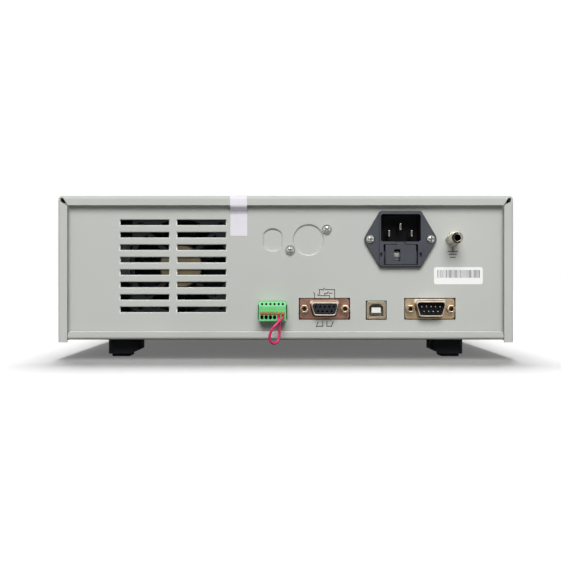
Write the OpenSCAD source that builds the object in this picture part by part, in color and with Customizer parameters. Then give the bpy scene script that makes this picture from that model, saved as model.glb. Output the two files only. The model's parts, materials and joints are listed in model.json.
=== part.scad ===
// Bench high-voltage withstand tester: folded sheet case, moulded front, connector panel behind.
// Millimetres, +Z up. The front faces -Y and the connector panel faces +Y.
// The origin is in the middle of the footprint, on the surface that the feet stand on.
// Heights of panel features are measured from the lower edge of the case.

/* [Case] */
// Width of the case
case_w = 280; // [274:1:320]
// Height of the case without its feet
case_h = 90; // [88:1:110]
// Depth from the bezel to the rear flange
case_d = 370; // [350:1:420]
// Thickness of the folded sheet
sheet_t = 1.2; // [0.8:0.1:1.5]
// Outside radius of the folds
bend_r = 2; // [1.7:0.1:3]
// Width of the flange round the rear panel
flange_w = 5.8; // [4.5:0.1:8]
// Opening of the flange mitre at its inner end
mitre_gap = 0.3; // [0.2:0.1:0.8]
// Height of the pan above the lower edge of the cover
pan_rise = 1.6; // [0.5:0.1:3]
// Height of the rear lip above the lower edge of the cover
lip_h = 6.8; // [6:0.1:9]
// Rounding of the upper corners of the rear lip
lip_r = 2; // [1:0.2:2.6]
// Height of the side walls of the pan
wall_h = 16; // [12:1:20]
// Depth of the rear panel behind the flange
panel_recess = 4.4; // [3:0.2:8]
// Width of the folded edge of the rear panel
fold_w = 9; // [6:1:12]
// Corner relief of the rear panel
panel_relief = 2.5; // [2:0.1:2.7]
// Clearance between pieces that are put together
fit_gap = 0.3; // [0.2:0.05:0.5]
// Radial clearance of a pin that turns or slides in a hole
run_gap = 0.05; // [0.03:0.01:0.09]
// Radius of the small screws
screw_r = 1.5; // [1.2:0.1:2]
// Length of a case screw
screw_l = 7; // [5:0.5:9]
// Vent slots in each side of the cover
side_slots = 14; // [6:1:18]
// Spacing of the side slots
side_pitch = 7; // [5:0.5:9]
// Height of a side slot
side_slot_h = 32; // [16:1:36]
// Width of a side slot
side_slot_w = 2.6; // [2:0.1:3.5]

/* [Feet] */
// Height of the case above the standing surface
foot_h = 10; // [9:0.5:14]
// Width of a foot
foot_w = 20; // [18:1:24]
// Length of a rear foot
foot_l = 24; // [22:1:30]
// Length of a front foot
front_foot_l = 46; // [44:1:54]
// Place of the feet from the middle
foot_across = 102; // [80:1:112]
// Distance of the feet from the ends of the pan
foot_inset = 14; // [10:1:30]
// Height of a rubber pad below its foot
pad_h = 1.8; // [1:0.1:2.5]
// Depth of the pocket that a rubber pad sits in
pad_seat = 0.8; // [0.5:0.1:1.2]
// Width of a tilt leg
leg_w = 12; // [9:0.5:13]
// Length of a tilt leg from its pivot
leg_l = 26; // [20:1:27]
// Thickness of a tilt leg
leg_t = 4; // [3:0.2:4.4]
// Radius of the tilt leg pivot pin
pivot_r = 1.2; // [1:0.1:1.5]

/* [Rear panel] */
// Sideways place of the grille
vent_across = 69.6; // [66:0.2:74]
// Sideways place of the fan
fan_across = 65; // [62:0.5:70]
// Height of the grille and the fan
vent_up = 47; // [46:0.5:50]
// Length of a grille slot
slot_l = 30; // [22:0.5:31]
// Height of a grille slot
slot_h = 3.2; // [2:0.1:4]
// Spacing of the grille rows
slot_pitch = 7.7; // [6:0.1:8]
// Rows of slots in the grille
slot_rows = 8; // [4:1:8]
// Width of the bar between the two columns of slots
slot_bar = 5.2; // [4:0.2:7]
// Height of the two blanked holes
blank_up = 63.3; // [60:0.1:66]
// Sideways place of the round blanked hole
round_across = -14.1; // [-15:0.1:-13]
// Diameter of the round blanked hole
round_d = 18.2; // [14:0.1:19]
// Sideways place of the blanked hole with flats
flat_across = 8; // [7:0.1:12]
// Diameter of the blanked hole with flats
flat_d = 13.1; // [11:0.1:15]
// Distance between the flats
flat_w = 10.9; // [9:0.1:11]
// Distance of each blanking screw from the round hole's centre
blank_screw = 13; // [12.5:0.1:14]
// Slant of the line through the blanking screws
blank_turn = 29.4; // [20:0.2:40]
// Sideways place of the ground terminal
post_across = -103.4; // [-112:0.2:-100]
// Height of the ground terminal
post_up = 63.8; // [58:0.1:70]
// Length of the ground terminal outside the panel
post_l = 16; // [12:0.5:22]
// Radius of the ground terminal barrel
post_r = 3.6; // [3:0.1:4.5]
// Radius of a 4 mm test plug socket
plug_r = 2; // [1.95:0.05:2.2]
// Depth of the ground terminal socket
post_bore = 14; // [10:0.5:15]
// Size across flats of the ground terminal base
post_hex = 8; // [7.5:0.5:10]

/* [Mains inlet] */
// Sideways place of the inlet
inlet_across = -70.8; // [-72:0.1:-68]
// Height of the inlet
inlet_up = 63.5; // [62:0.1:68]
// Width of the inlet flange over its two ends
inlet_w = 44.4; // [43:0.1:46]
// Height of the inlet flange
inlet_h = 35; // [34.4:0.1:38]
// Thickness of the inlet flange
inlet_t = 2.6; // [2:0.1:4]
// Width of the inlet housing
inlet_body_w = 27; // [26:0.1:28]
// Depth of the inlet housing behind the panel
inlet_body_d = 27; // [25:0.5:32]
// Spacing of the inlet screws
inlet_screw = 37.1; // [35.5:0.1:38]
// Width of the plug recess
recess_w = 24.5; // [24:0.1:25]
// Height of the plug recess
recess_h = 16.9; // [16.4:0.1:17.2]
// Depth of the plug recess
recess_d = 17; // [16:0.5:20]
// Height of the recess centre above the inlet centre
recess_rise = 6.9; // [6.5:0.1:7.1]
// Rounding of the recess corners
recess_r = 1.5; // [0.8:0.1:3]
// Width of the fuse drawer
drawer_w = 20.6; // [20.2:0.1:21.2]
// Height of the fuse drawer
drawer_h = 12.2; // [11:0.1:12.4]
// Length of the fuse drawer
drawer_l = 23; // [20:0.5:25]
// Depth of the fuse drawer centre below the inlet centre
drawer_drop = 9.6; // [9.4:0.1:9.8]
// Gap beside the front of the fuse drawer
drawer_grip = 0.8; // [0.4:0.1:1.2]
// Radius of a fuse
fuse_r = 2.6; // [2.4:0.05:2.7]
// Length of a fuse
fuse_l = 20; // [18:0.5:20]

/* [Signal terminal] */
// Sideways place of the signal terminal
sig_across = 8.1; // [6:0.1:10]
// Height of the signal terminal
sig_z = 18.3; // [17.8:0.1:20]
// Spacing of the six terminals
sig_pitch = 2.54; // [2.5:0.01:2.7]
// Width of the header outside
header_w = 17.4; // [17.2:0.1:19]
// Wall of the header
header_wall = 0.8; // [0.6:0.1:1]
// Reach of the plug outside the panel
sig_out = 11; // [9:0.5:14]
// Length of the plug nose inside the header
nose_l = 6.5; // [5:0.5:8]
// Travel of a release button
release_travel = 0.7; // [0.3:0.1:0.8]
// Radius of the jumper wire
wire_r = 0.8; // [0.6:0.05:0.9]

/* [Data connectors] */
// Sideways place of the handler connector
handler_across = -24; // [-26:0.2:-22]
// Sideways place of the USB socket
usb_across = -56; // [-58:0.2:-54]
// Sideways place of the serial connector
serial_across = -89.2; // [-92:0.2:-86]
// Height of the two nine-way connectors
dsub_z = 20.5; // [20:0.1:22]
// Height of the USB socket
usb_z = 19.6; // [19:0.1:20]
// Width of a connector flange
dsub_w = 30.8; // [30.4:0.1:32]
// Height of a connector flange
dsub_h = 12.5; // [11.5:0.1:12.9]
// Spacing of a pair of jackscrews
jack_pitch = 24.99; // [24.9:0.01:25.1]
// Size across flats of a jackscrew
jack_hex = 4.8; // [4.5:0.1:5]
// Radius of the jackscrew thread hole
jack_bore = 1.3; // [1.1:0.1:1.4]
// Reach of a jackscrew from its flange
jack_l = 5; // [4:0.5:7]
// Width of the socket shell
socket_w = 16.3; // [15.8:0.1:16.6]
// Height of the socket shell
socket_h = 7.9; // [7.6:0.1:8.4]
// Width of the pin shell
pin_w = 17.9; // [17.4:0.1:18.2]
// Height of the pin shell
pin_h = 9.2; // [8.8:0.1:9.8]
// Reach of a connector shell from its flange
shell_l = 6; // [5:0.2:7]
// Wall of a connector shell
shell_t = 0.5; // [0.4:0.05:0.7]
// Width of the USB shell
usb_w = 12; // [11.6:0.1:12.4]
// Height of the USB shell
usb_h = 10.9; // [10.6:0.1:11.2]
// Length of the USB shell
usb_l = 16; // [14:0.5:20]

/* [Fan] */
// Size of the square fan frame
fan_s = 60; // [58:0.5:61]
// Thickness of the fan
fan_t = 20; // [18:0.5:25]
// Spacing of the fan fixing holes
fan_hole = 50; // [49:0.5:51]
// Radius of the fan hub
hub_r = 13.5; // [11:0.5:15]
// Blades of the rotor
blades = 7; // [5:1:9]
// Slope of the blades
blade_turn = 38; // [30:1:45]

/* [Front] */
// Depth of the bezel
bezel_d = 24; // [20:1:30]
// Width of the bezel rim at the sides
rim_w = 9; // [8:0.5:10]
// Width of the bezel rim at the top and bottom
rim_h = 8; // [7:0.5:9]
// Rounding of the bezel edges
bezel_r = 4; // [2.5:0.5:5]
// Depth of the face plate behind the bezel
face_recess = 3; // [2:0.2:4]
// Thickness of the face plate
face_t = 2.5; // [2:0.1:3.5]
// Overlap of the face plate behind the rim
face_lap = 2.5; // [2:0.1:3]
// Sideways place of the display
display_across = -54; // [-56:0.5:-52]
// Height of the display
display_up = 46; // [45:0.5:48]
// Width of the display window
window_wide = 104; // [96:1:106]
// Height of the display window
window_tall = 58; // [50:1:60]
// Border of the display module round the window
module_lap = 5; // [3:0.5:5.5]
// Distance of the key board behind the face plate
board_gap = 9; // [8.5:0.5:12]
// Reach of the small keys from the face plate
key_proud = 1.8; // [1:0.1:3]
// Travel of the small keys
key_travel = 1; // [0.5:0.1:1.4]
// Width of a soft key
soft_w = 14; // [12:0.5:15]
// Height of a soft key
soft_tall = 8; // [6:0.5:9]
// Spacing of the soft keys
soft_step = 12; // [11.5:0.1:13]
// Sideways place of the soft keys
soft_across = 14; // [13:0.5:14]
// Sideways place of the cursor keys
cursor_across = 47; // [45.5:0.5:48]
// Distance of each cursor key from their centre
cursor_reach = 15; // [14:0.5:16]
// Size of a cursor key
cursor_s = 11; // [9:0.5:12]
// Sideways place of the start and stop buttons
run_across = 84; // [82:0.5:85]
// Height of the start button
start_up = 46; // [45:0.5:48]
// Height of the stop button
stop_up = 22; // [21:0.5:23]
// Width of the start and stop buttons
run_w = 20; // [16:0.5:21]
// Height of the start and stop buttons
run_h = 16; // [12:0.5:17]
// Travel of the start, stop and power buttons
push_travel = 2; // [1:0.1:2.4]
// Sideways place of the power button
power_across = -122; // [-122:0.2:-121]
// Height of the power button
power_up = 23; // [22:0.5:26]
// Size of the power button
power_s = 13; // [11:0.5:13.5]
// Height of the warning lamp
lamp_up = 70; // [67:0.5:72]
// Radius of the warning lamp
lamp_r = 4; // [3:0.5:5]
// Sideways place of the output sockets
term_across = 117; // [115:0.5:118]
// Height of the high-voltage socket
hv_up = 60; // [56:0.5:64]
// Height of the return socket
return_up = 28; // [24:0.5:31]
// Reach of the output sockets from the face plate
term_proud = 14; // [11:0.5:18]
// Radius of the output socket collar
term_r = 9.5; // [8.5:0.5:10]
// Radius of the high-voltage socket bore
hv_bore = 4.5; // [4:0.1:5]
// Depth of the output socket bores
term_bore = 24; // [20:0.5:26]

/* [Hidden] */
$fn = 48;
half_w = case_w / 2;
// Places across and up the two faces are drawn on a case of this width and height, and follow it
drawn_size = [280, 90];
spread = case_w / drawn_size[0];
stretch = case_h / drawn_size[1];
foot_x = foot_across * spread;
vent_x = vent_across * spread;
round_x = round_across * spread;
flat_x = flat_across * spread;
post_x = post_across * spread;
inlet_x = inlet_across * spread;
sig_x = sig_across * spread;
handler_x = handler_across * spread;
usb_x = usb_across * spread;
serial_x = serial_across * spread;
display_x = display_across * spread;
soft_x = soft_across * spread;
cursor_x = cursor_across * spread;
run_x = run_across * spread;
power_x = power_across * spread;
term_x = term_across * spread;
fan_x = fan_across * spread;
vent_z = vent_up * stretch;
blank_z = blank_up * stretch;
post_z = post_up * stretch;
inlet_z = inlet_up * stretch;
display_z = display_up * stretch;
start_z = start_up * stretch;
stop_z = stop_up * stretch;
power_z = power_up * stretch;
lamp_z = lamp_up * stretch;
hv_z = hv_up * stretch;
return_z = return_up * stretch;
window_w = window_wide * spread;
window_h = window_tall * stretch;
soft_pitch = soft_step * stretch;
soft_h = soft_tall * stretch;
cursor_ring = cursor_reach * spread;

base_z = foot_h;
top_z = base_z + case_h;
pan_z = base_z + pan_rise;
floor_z = pan_z + sheet_t;
roof_z = top_z - sheet_t;
in_x = half_w - sheet_t;
pan_x = in_x - fit_gap;
panel_x = pan_x - sheet_t - fit_gap;
lip_x = half_w - flange_w - fit_gap;

front_proud = term_proud - face_recess;
rear_proud = post_l - panel_recess;
front_y = (front_proud - rear_proud - case_d) / 2;
rear_y = front_y + case_d;
cover_y = front_y + bezel_d;
panel_y = rear_y - panel_recess;
inside_y = panel_y - sheet_t;
pan_end_y = rear_y - bend_r - fit_gap;
mitre_slope = (flange_w - bend_r) / flange_w;
panel_top_z = roof_z - fit_gap;

screw_hole = screw_r + 0.15;
screw_head = 2 * screw_r;
head_h = 1.4 * screw_r;
case_screw_z = pan_z + wall_h / 2;
case_screw_set = 40;
case_screw_ys = [cover_y + case_screw_set, (cover_y + pan_end_y) / 2, pan_end_y - case_screw_set];
side_vent_set = 70;
side_vent_y = cover_y + side_vent_set;
side_vent_z = (base_z + wall_h + top_z) / 2;
spigot_l = 8;
spigot_t = 3;

rear_foot_y = pan_end_y - foot_inset - foot_l / 2;
front_foot_y = cover_y + foot_inset + front_foot_l / 2;
foot_screw_l = foot_h - pad_h - 3;
foot_slope = [6, 2.6];
pad_x = foot_x + 2.2;
pad_w = foot_w - 8.4;
pivot_set = 15;
pivot_y = front_foot_y - front_foot_l / 2 + pivot_set;
pivot_z = pad_h + leg_t / 2 + 0.6;
leg_well = leg_w + 2 * fit_gap;

slot_col = (slot_l + slot_bar) / 2;
vent_mid_z = base_z + vent_z;
stud_l = fan_t + 4;
blank_t = 1.5;
blank_lap = 5.5;
round_mid = [round_x, base_z + blank_z];
flat_mid = [flat_x, base_z + blank_z];
blank_arm = blank_screw * [-cos(blank_turn), sin(blank_turn)];
post_mid = [post_x, base_z + post_z];
post_hex_l = 3;
nut_l = 3;

inlet_mid = [inlet_x, base_z + inlet_z];
inlet_rim = 1.2;
inlet_corner = 2;
inlet_tip = 4.5;
housing_r = 3;
rim_inset = [0.8, 1.4];
inlet_face_y = panel_y + inlet_t + inlet_rim;
inlet_body_h = inlet_h - 2.4;
recess_mid = inlet_mid + [0, recess_rise];
drawer_mid = inlet_mid - [0, drawer_drop];
drawer_gap = 0.25;
drawer_tab = 5;
notch_size = [1.3, 2.6];
notch_set = 1.6;
peep_shift = [2.2, -0.4];
peep_size = [3.5, 7.2];
pin_size = [2, 4];
pin_pitch = 14;
pin_drop = 3.3;
pin_short = 2;
tab_l = 8;
pin_mids = [for (p = [[-pin_pitch / 2, 0], [0, 4], [pin_pitch / 2, 0]]) recess_mid + p - [0, pin_drop]];
fuse_cap = 5.5;
trough_r = fuse_r + 0.1;
fuse_ys = [inlet_face_y - 3 - trough_r, inlet_face_y - 5 - 3 * trough_r];

board_top = base_z + usb_z - usb_h / 2;
board_t = 1.6;
board_side = 24;
board_l = 90;
board_x0 = serial_x - board_side;
board_x1 = sig_x + board_side;
board_y0 = inside_y - board_l;
standoff_r = 3;
standoff_inset = 6;
standoff_set = 10;
chip_s = 14;
chip_h = 2.5;
can_r = 5;
can_h = 14;
inner_set = 110;
inner_y = cover_y + inner_set;
core_t = 32;
core_leg = 12;
coil_t = 11;
coil_gap = 0.4;
sink_w = 64;
sink_l = 70;
sink_h = 52;
sink_base = 8;
fins = 9;
fin_t = 2.4;
sink_gap = 8;
supply_x = inlet_x;
supply_w = 80;
supply_l = 110;
supply_h = 38;
supply_t = 1.5;
sig_mid_z = base_z + sig_z;
header_top = sig_mid_z + 4.4;
header_d = 9;
header_face_y = panel_y + 0.3;
nose_gap = 0.12;
nose_w = header_w - 2 * header_wall - 2 * nose_gap;
plug_w = header_w - 0.8;
plug_face_y = panel_y + sig_out;
release_size = [2.1, 1.1];
release_l = 4;
release_proud = 0.9;
release_z = sig_mid_z - 0.3;
release_gap = 0.1;
wire_z = sig_mid_z - 2.7;
wire_hole = [1.9, 2.4];
wire_depth = 4.5;
contact_r = 0.75;
probe_r = 0.7;
probe_z = sig_mid_z + 5.3;
probe_depth = 6;

dsub_mid_z = base_z + dsub_z;
dsub_y = panel_y - 0.6;
dsub_t = 0.8;
dsub_back = 10;
port_gap = 0.5;
shell_skirt = 1.1;
skirt_sink = 0.2;
contact_pitch = 2.77;
contact_row = 2.84;
jack_stud = 1.4;
jack_tail = 6;
usb_mid_z = base_z + usb_z;
usb_open = [8.5, 7.8];
usb_wall = 0.6;
usb_y = panel_y + 0.4;
tongue = [5.7, 3.3];

fan_bore = fan_s / 2 - 1.2;
shaft_r = 1.5;
stator_t = 3.5;
rotor_y = inside_y - 0.5 - stator_t - 0.6;
rotor_t = fan_t - 6;
blade_r = fan_bore - 0.6;
blade_bow = 20;

face_y = front_y + face_recess;
face_back_y = face_y + face_t;
open_w = case_w - 2 * rim_w;
open_h = case_h - 2 * rim_h;
plate_w = open_w + 2 * face_lap;
plate_h = open_h + 2 * face_lap;
mid_z = base_z + case_h / 2;
board_y = face_back_y + board_gap;
tact_l = 3;
key_gap = 0.25;
key_lip = 1.2;
key_lip_t = 1.2;
board_left = -half_w + rim_w + 1;
board_right = term_x - term_r - 5;
boss_r = 3;
boss_xs = [board_left + 4, board_right - 4];
boss_zs = [base_z + rim_h + 1.5, top_z - rim_h - 1.5];
display_t = 5;
term_back = 14;
term_flange = term_r + 2;

soft_zs = [for (i = [2:-1:-2]) display_z + i * soft_pitch];
up_at = [cursor_x, display_z + cursor_ring];
down_at = [cursor_x, display_z - cursor_ring];
left_at = [cursor_x - cursor_ring, display_z];
right_at = [cursor_x + cursor_ring, display_z];
small_keys = concat([for (z = soft_zs) [soft_x, z]], [up_at, down_at, left_at, right_at]);
large_keys = [[run_x, start_z], [run_x, stop_z], [power_x, power_z]];

// The jumper wire: sideways from the terminal, out from the panel, up from the wire holes
wire_route = [
    [-1.5, -4.5, 0], [-1.5, 0, 0], [-1.5, 2.2, -0.5], [-1.7, 3.6, -2.4], [-1.95, 3.8, -5],
    [-2, 3.6, -8.4], [-1.75, 3.6, -11.6], [-0.9, 4.2, -14.3], [1.1, 5.65, -15.5], [3.1, 7.1, -14.3],
    [3.9, 7.7, -11.6], [3.1, 8.2, -8.3], [1.3, 8.2, -5.4], [-0.9, 7.5, -3.1], [-2.9, 6, -1.4],
    [-4, 3.6, -0.3], [-4.1, 1.8, 0], [-4.1, 0, 0], [-4.1, -4.5, 0]
];
wire_sides = 8;
wire_shift = [[0, sig_x + 1.5 - 1.5 * sig_pitch], [1, sig_x + 4.1 - 2.5 * sig_pitch]];

steel_paint = [0.74, 0.75, 0.73];
dark_plastic = [0.2, 0.21, 0.23];
black_plastic = [0.1, 0.1, 0.11];
rubber_black = [0.07, 0.07, 0.07];
nickel = [0.8, 0.79, 0.76];
board_green = [0.1, 0.36, 0.2];
block_green = [0.36, 0.75, 0.45];
lever_orange = [0.9, 0.34, 0.13];
key_grey = [0.82, 0.82, 0.8];

// Prisms whose flat outline is drawn in the other two axes
module prism_x(x0, x1) {
    translate([x0, 0, 0]) rotate([90, 0, 90]) linear_extrude(x1 - x0) children();
}

module prism_y(y0, y1) {
    translate([0, y1, 0]) rotate([90, 0, 0]) linear_extrude(y1 - y0) children();
}

module prism_z(z0, z1) {
    translate([0, 0, z0]) linear_extrude(z1 - z0) children();
}

module rod_y(at, r, y0, y1) {
    prism_y(y0, y1) translate(at) circle(r);
}

module block(x0, x1, y0, y1, z0, z1) {
    translate([x0, y0, z0]) cube([x1 - x0, y1 - y0, z1 - z0]);
}

module slab(at, size) {
    translate(at) square(size, center = true);
}

module rounded(at, size, r) {
    slab(at, [size[0], size[1] - 2 * r]);
    slab(at, [size[0] - 2 * r, size[1]]);
    for (sx = [-1, 1], sy = [-1, 1])
        translate([at[0] + sx * (size[0] / 2 - r), at[1] + sy * (size[1] / 2 - r)]) circle(r);
}

module both_sides() {
    children();
    mirror([1, 0, 0]) children();
}

// A fold of the sheet: a quarter bend and the strip that follows it
module fold_section(w) {
    intersection() {
        difference() {
            circle(bend_r);
            circle(bend_r - sheet_t);
        }
        square(bend_r);
    }
    translate([bend_r - sheet_t, bend_r - w]) square([sheet_t, w - bend_r]);
}

module cover_section() {
    difference() {
        union() {
            translate([-half_w, base_z]) square([case_w, case_h - bend_r]);
            translate([-half_w + bend_r, base_z]) square([case_w - 2 * bend_r, case_h]);
            for (side = [-1, 1]) translate([side * (half_w - bend_r), top_z - bend_r]) circle(bend_r);
        }
        translate([-in_x, base_z - 1]) square([2 * in_x, roof_z - base_z + 1]);
    }
}

module top_flange() {
    inner = half_w - flange_w - mitre_gap;
    outer = half_w - bend_r - mitre_gap;
    intersection() {
        prism_x(-half_w, half_w) translate([rear_y - bend_r, top_z - bend_r]) fold_section(flange_w);
        prism_y(rear_y - bend_r - 1, rear_y + 1) polygon([
            [-inner + mitre_slope, top_z - flange_w - 1],
            [inner - mitre_slope, top_z - flange_w - 1],
            [outer + mitre_slope, top_z + 1],
            [-outer - mitre_slope, top_z + 1]
        ]);
    }
}

module side_flange() {
    inner = top_z - flange_w - mitre_gap;
    outer = top_z - bend_r - mitre_gap;
    intersection() {
        prism_z(base_z, top_z)
            translate([half_w - bend_r, rear_y - bend_r]) mirror([1, -1]) fold_section(flange_w);
        prism_y(rear_y - bend_r - 1, rear_y + 1) polygon([
            [half_w - flange_w - 1, base_z - 1],
            [half_w + 1, base_z - 1],
            [half_w + 1, outer + mitre_slope],
            [half_w - flange_w - 1, inner - mitre_slope]
        ]);
    }
}

module top_cover() {
    color(steel_paint) difference() {
        union() {
            prism_y(cover_y, rear_y - bend_r) cover_section();
            top_flange();
            both_sides() side_flange();
        }
        for (i = [0:side_slots - 1])
            prism_x(-half_w - 1, half_w + 1)
                slab([side_vent_y + i * side_pitch, side_vent_z], [side_slot_w, side_slot_h]);
        both_sides() for (y = case_screw_ys)
            translate([in_x, y, case_screw_z]) rotate([0, 90, 0])
                cylinder(h = sheet_t, r1 = screw_hole, r2 = screw_head);
    }
}

module bottom_pan() {
    color(steel_paint) difference() {
        union() {
            block(-pan_x, pan_x, cover_y, pan_end_y, pan_z, floor_z);
            block(-lip_x, lip_x, pan_end_y - 1, rear_y - bend_r, pan_z, floor_z);
            intersection() {
                prism_x(-lip_x, lip_x)
                    translate([rear_y - bend_r, pan_z + bend_r]) mirror([0, 1])
                        fold_section(lip_h - pan_rise);
                prism_y(rear_y - bend_r - 1, rear_y + 1)
                    rounded([0, base_z + lip_h - case_h / 4], [2 * lip_x, case_h / 2], lip_r);
            }
            both_sides() block(pan_x - sheet_t, pan_x, cover_y, pan_end_y, pan_z, pan_z + wall_h);
            for (p = board_posts())
                prism_z(floor_z - 0.5, board_top - board_t) translate(p) circle(standoff_r);
        }
        both_sides() for (y = case_screw_ys)
            translate([pan_x - sheet_t - 1, y, case_screw_z]) rotate([0, 90, 0])
                cylinder(h = sheet_t + 2, r = screw_hole);
        for (x = [-foot_x, foot_x], y = [rear_foot_y, front_foot_y])
            translate([x, y, pan_z - 1]) cylinder(h = sheet_t + 2, r = screw_hole);
    }
}

module rear_panel() {
    edge = panel_x - panel_relief;
    low = floor_z + panel_relief;
    high = panel_top_z - panel_relief;
    color(steel_paint) difference() {
        union() {
            prism_y(inside_y, panel_y) {
                translate([-panel_x, low]) square([2 * panel_x, high - low]);
                translate([-edge, floor_z]) square([2 * edge, panel_top_z - floor_z]);
            }
            block(-edge, edge, inside_y - fold_w, inside_y, panel_top_z - sheet_t, panel_top_z);
            block(-edge, edge, inside_y - fold_w, inside_y, floor_z, floor_z + sheet_t);
            both_sides() block(panel_x - sheet_t, panel_x, inside_y - fold_w, inside_y, low, high);
            for (p = fan_corners()) rod_y(p, screw_r, inside_y - stud_l, inside_y + sheet_t / 2);
        }
        prism_y(inside_y - 1, panel_y + 1) panel_openings();
    }
}

module panel_openings() {
    for (row = [0:slot_rows - 1], side = [-1, 1])
        slab([vent_x + side * slot_col, vent_mid_z + (row - (slot_rows - 1) / 2) * slot_pitch],
             [slot_l, slot_h]);
    translate(round_mid) circle(round_d / 2);
    intersection() {
        translate(flat_mid) circle(flat_d / 2);
        slab(flat_mid, [flat_w, flat_d + 1]);
    }
    for (side = [-1, 1]) {
        translate(round_mid + side * blank_arm) circle(screw_hole);
        translate(inlet_mid + [side * inlet_screw / 2, 0]) circle(screw_hole);
    }
    rounded(inlet_mid, [inlet_body_w + 2 * fit_gap, inlet_body_h + 2 * fit_gap], housing_r + fit_gap);
    translate(post_mid) circle(plug_r + 0.1);
    translate([sig_x - header_w / 2 - fit_gap, board_top - fit_gap])
        square([header_w + 2 * fit_gap, header_top - board_top + 2 * fit_gap]);
    for (x = [handler_x, serial_x])
        slab([x, dsub_mid_z], [dsub_w + 2 * port_gap, dsub_h + 2 * port_gap]);
    slab([usb_x, usb_mid_z], [usb_w + 2 * port_gap, usb_h + 2 * port_gap]);
}

module blanking_plate() {
    left = round_x + blank_arm[0] - blank_lap;
    right = flat_x + flat_d / 2 + blank_lap;
    tall = 2 * (blank_arm[1] + blank_lap);
    color(steel_paint) prism_y(inside_y - blank_t, inside_y) difference() {
        translate([left, base_z + blank_z - tall / 2]) square([right - left, tall]);
        for (side = [-1, 1]) translate(round_mid + side * blank_arm) circle(screw_hole);
    }
}

// A pan-head screw pointing inwards from a face at y0
module pan_screw(at, y0, l) {
    rod_y(at, screw_r, y0 - l, y0 + 0.5);
    rod_y(at, screw_head, y0, y0 + head_h * 0.55);
    translate([at[0], y0 + head_h * 0.55, at[1]]) rotate([-90, 0, 0])
        cylinder(h = head_h * 0.45, r1 = screw_head, r2 = screw_head * 0.7);
}

module panel_screws() {
    color(nickel) for (side = [-1, 1]) {
        pan_screw(round_mid + side * blank_arm, panel_y, sheet_t + blank_t + 2);
        pan_screw(inlet_mid + [side * inlet_screw / 2, 0], panel_y + inlet_t, inlet_t + sheet_t + 3);
    }
}

module case_screws() {
    color(nickel) {
        both_sides() for (y = case_screw_ys) translate([in_x, y, case_screw_z]) rotate([0, 90, 0]) {
            translate([0, 0, sheet_t - screw_l]) cylinder(h = screw_l - sheet_t + 0.1, r = screw_r);
            cylinder(h = sheet_t, r1 = screw_hole - 0.1, r2 = screw_head - 0.1);
        }
        for (x = [-foot_x, foot_x], y = [rear_foot_y, front_foot_y]) translate([x, y, floor_z]) {
            translate([0, 0, -sheet_t - foot_screw_l])
                cylinder(h = sheet_t + foot_screw_l + 0.5, r = screw_r);
            cylinder(h = head_h, r = screw_head);
        }
    }
}

// One foot seen from behind, with its sloping inner corner towards -X
module foot_section() {
    w = foot_w / 2;
    polygon([
        [-w, pan_z], [w, pan_z], [w, pad_h],
        [-w + foot_slope[0], pad_h], [-w, pad_h + foot_slope[1]]
    ]);
}

module foot(x, y, l) {
    difference() {
        intersection() {
            translate([x, 0, 0]) prism_y(y - l / 2, y + l / 2) foot_section();
            prism_z(0, top_z) rounded([x, y], [foot_w, l], 3);
        }
        translate([x, y, pan_z - foot_screw_l - 0.5]) cylinder(h = foot_screw_l + 1, r = screw_hole);
    }
}

module pad_outlines() {
    rounded([pad_x, rear_foot_y], [pad_w, foot_l - 5], 2);
    rounded([pad_x, front_foot_y - front_foot_l / 2 + 6.5], [pad_w, 8], 2);
}

module feet() {
    leg_end = pivot_y + leg_l + 1;
    color(dark_plastic) both_sides() {
        difference() {
            union() {
                foot(foot_x, rear_foot_y, foot_l);
                foot(foot_x, front_foot_y, front_foot_l);
            }
            prism_z(pad_h - 1, pad_h + pad_seat) pad_outlines();
            block(foot_x - leg_well / 2, foot_x + leg_well / 2, pivot_y - leg_t / 2 - 0.8, leg_end,
                  pad_h - 1, pivot_z + leg_t / 2 + 0.5);
            translate([foot_x - foot_w, pivot_y, pivot_z]) rotate([0, 90, 0])
                cylinder(h = 2 * foot_w, r = pivot_r + run_gap);
        }
    }
}

module foot_pads() {
    color(rubber_black) both_sides() prism_z(0, pad_h + pad_seat) pad_outlines();
}

module tilt_leg(side) {
    x = side * foot_x;
    color(dark_plastic) {
        prism_x(x - leg_w / 2, x + leg_w / 2) {
            translate([pivot_y, pivot_z]) circle(leg_t / 2);
            translate([pivot_y, pivot_z - leg_t / 2]) square([leg_l - leg_t / 2, leg_t]);
            translate([pivot_y + leg_l - leg_t / 2, pivot_z]) circle(leg_t / 2);
        }
        prism_x(x - foot_w / 2 + 1.5, x + foot_w / 2 - 1.5) translate([pivot_y, pivot_z]) circle(pivot_r);
    }
}

module tilt_leg_left() {
    tilt_leg(-1);
}

module tilt_leg_right() {
    tilt_leg(1);
}

module front_bezel() {
    deep = cover_y - front_y;
    color(dark_plastic) difference() {
        union() {
            intersection() {
                prism_y(front_y, cover_y) rounded([0, mid_z], [case_w, case_h], bend_r);
                prism_x(-half_w - 1, half_w + 1)
                    rounded([front_y + deep, mid_z], [2 * deep, case_h], bezel_r);
                prism_z(0, top_z + 1) rounded([0, front_y + deep], [case_w, 2 * deep], bezel_r);
            }
            difference() {
                block(-pan_x, pan_x, cover_y - 1, cover_y + spigot_l,
                      pan_z + wall_h + 2, roof_z - fit_gap);
                block(-pan_x + spigot_t, pan_x - spigot_t, cover_y - 2, cover_y + spigot_l + 1,
                      base_z, roof_z - fit_gap - spigot_t);
            }
        }
        prism_y(front_y - 1, cover_y + 1) slab([0, mid_z], [open_w, open_h]);
        prism_y(face_y, cover_y + 1) slab([0, mid_z], [plate_w + 2 * fit_gap, plate_h + 2 * fit_gap]);
    }
}

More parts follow.
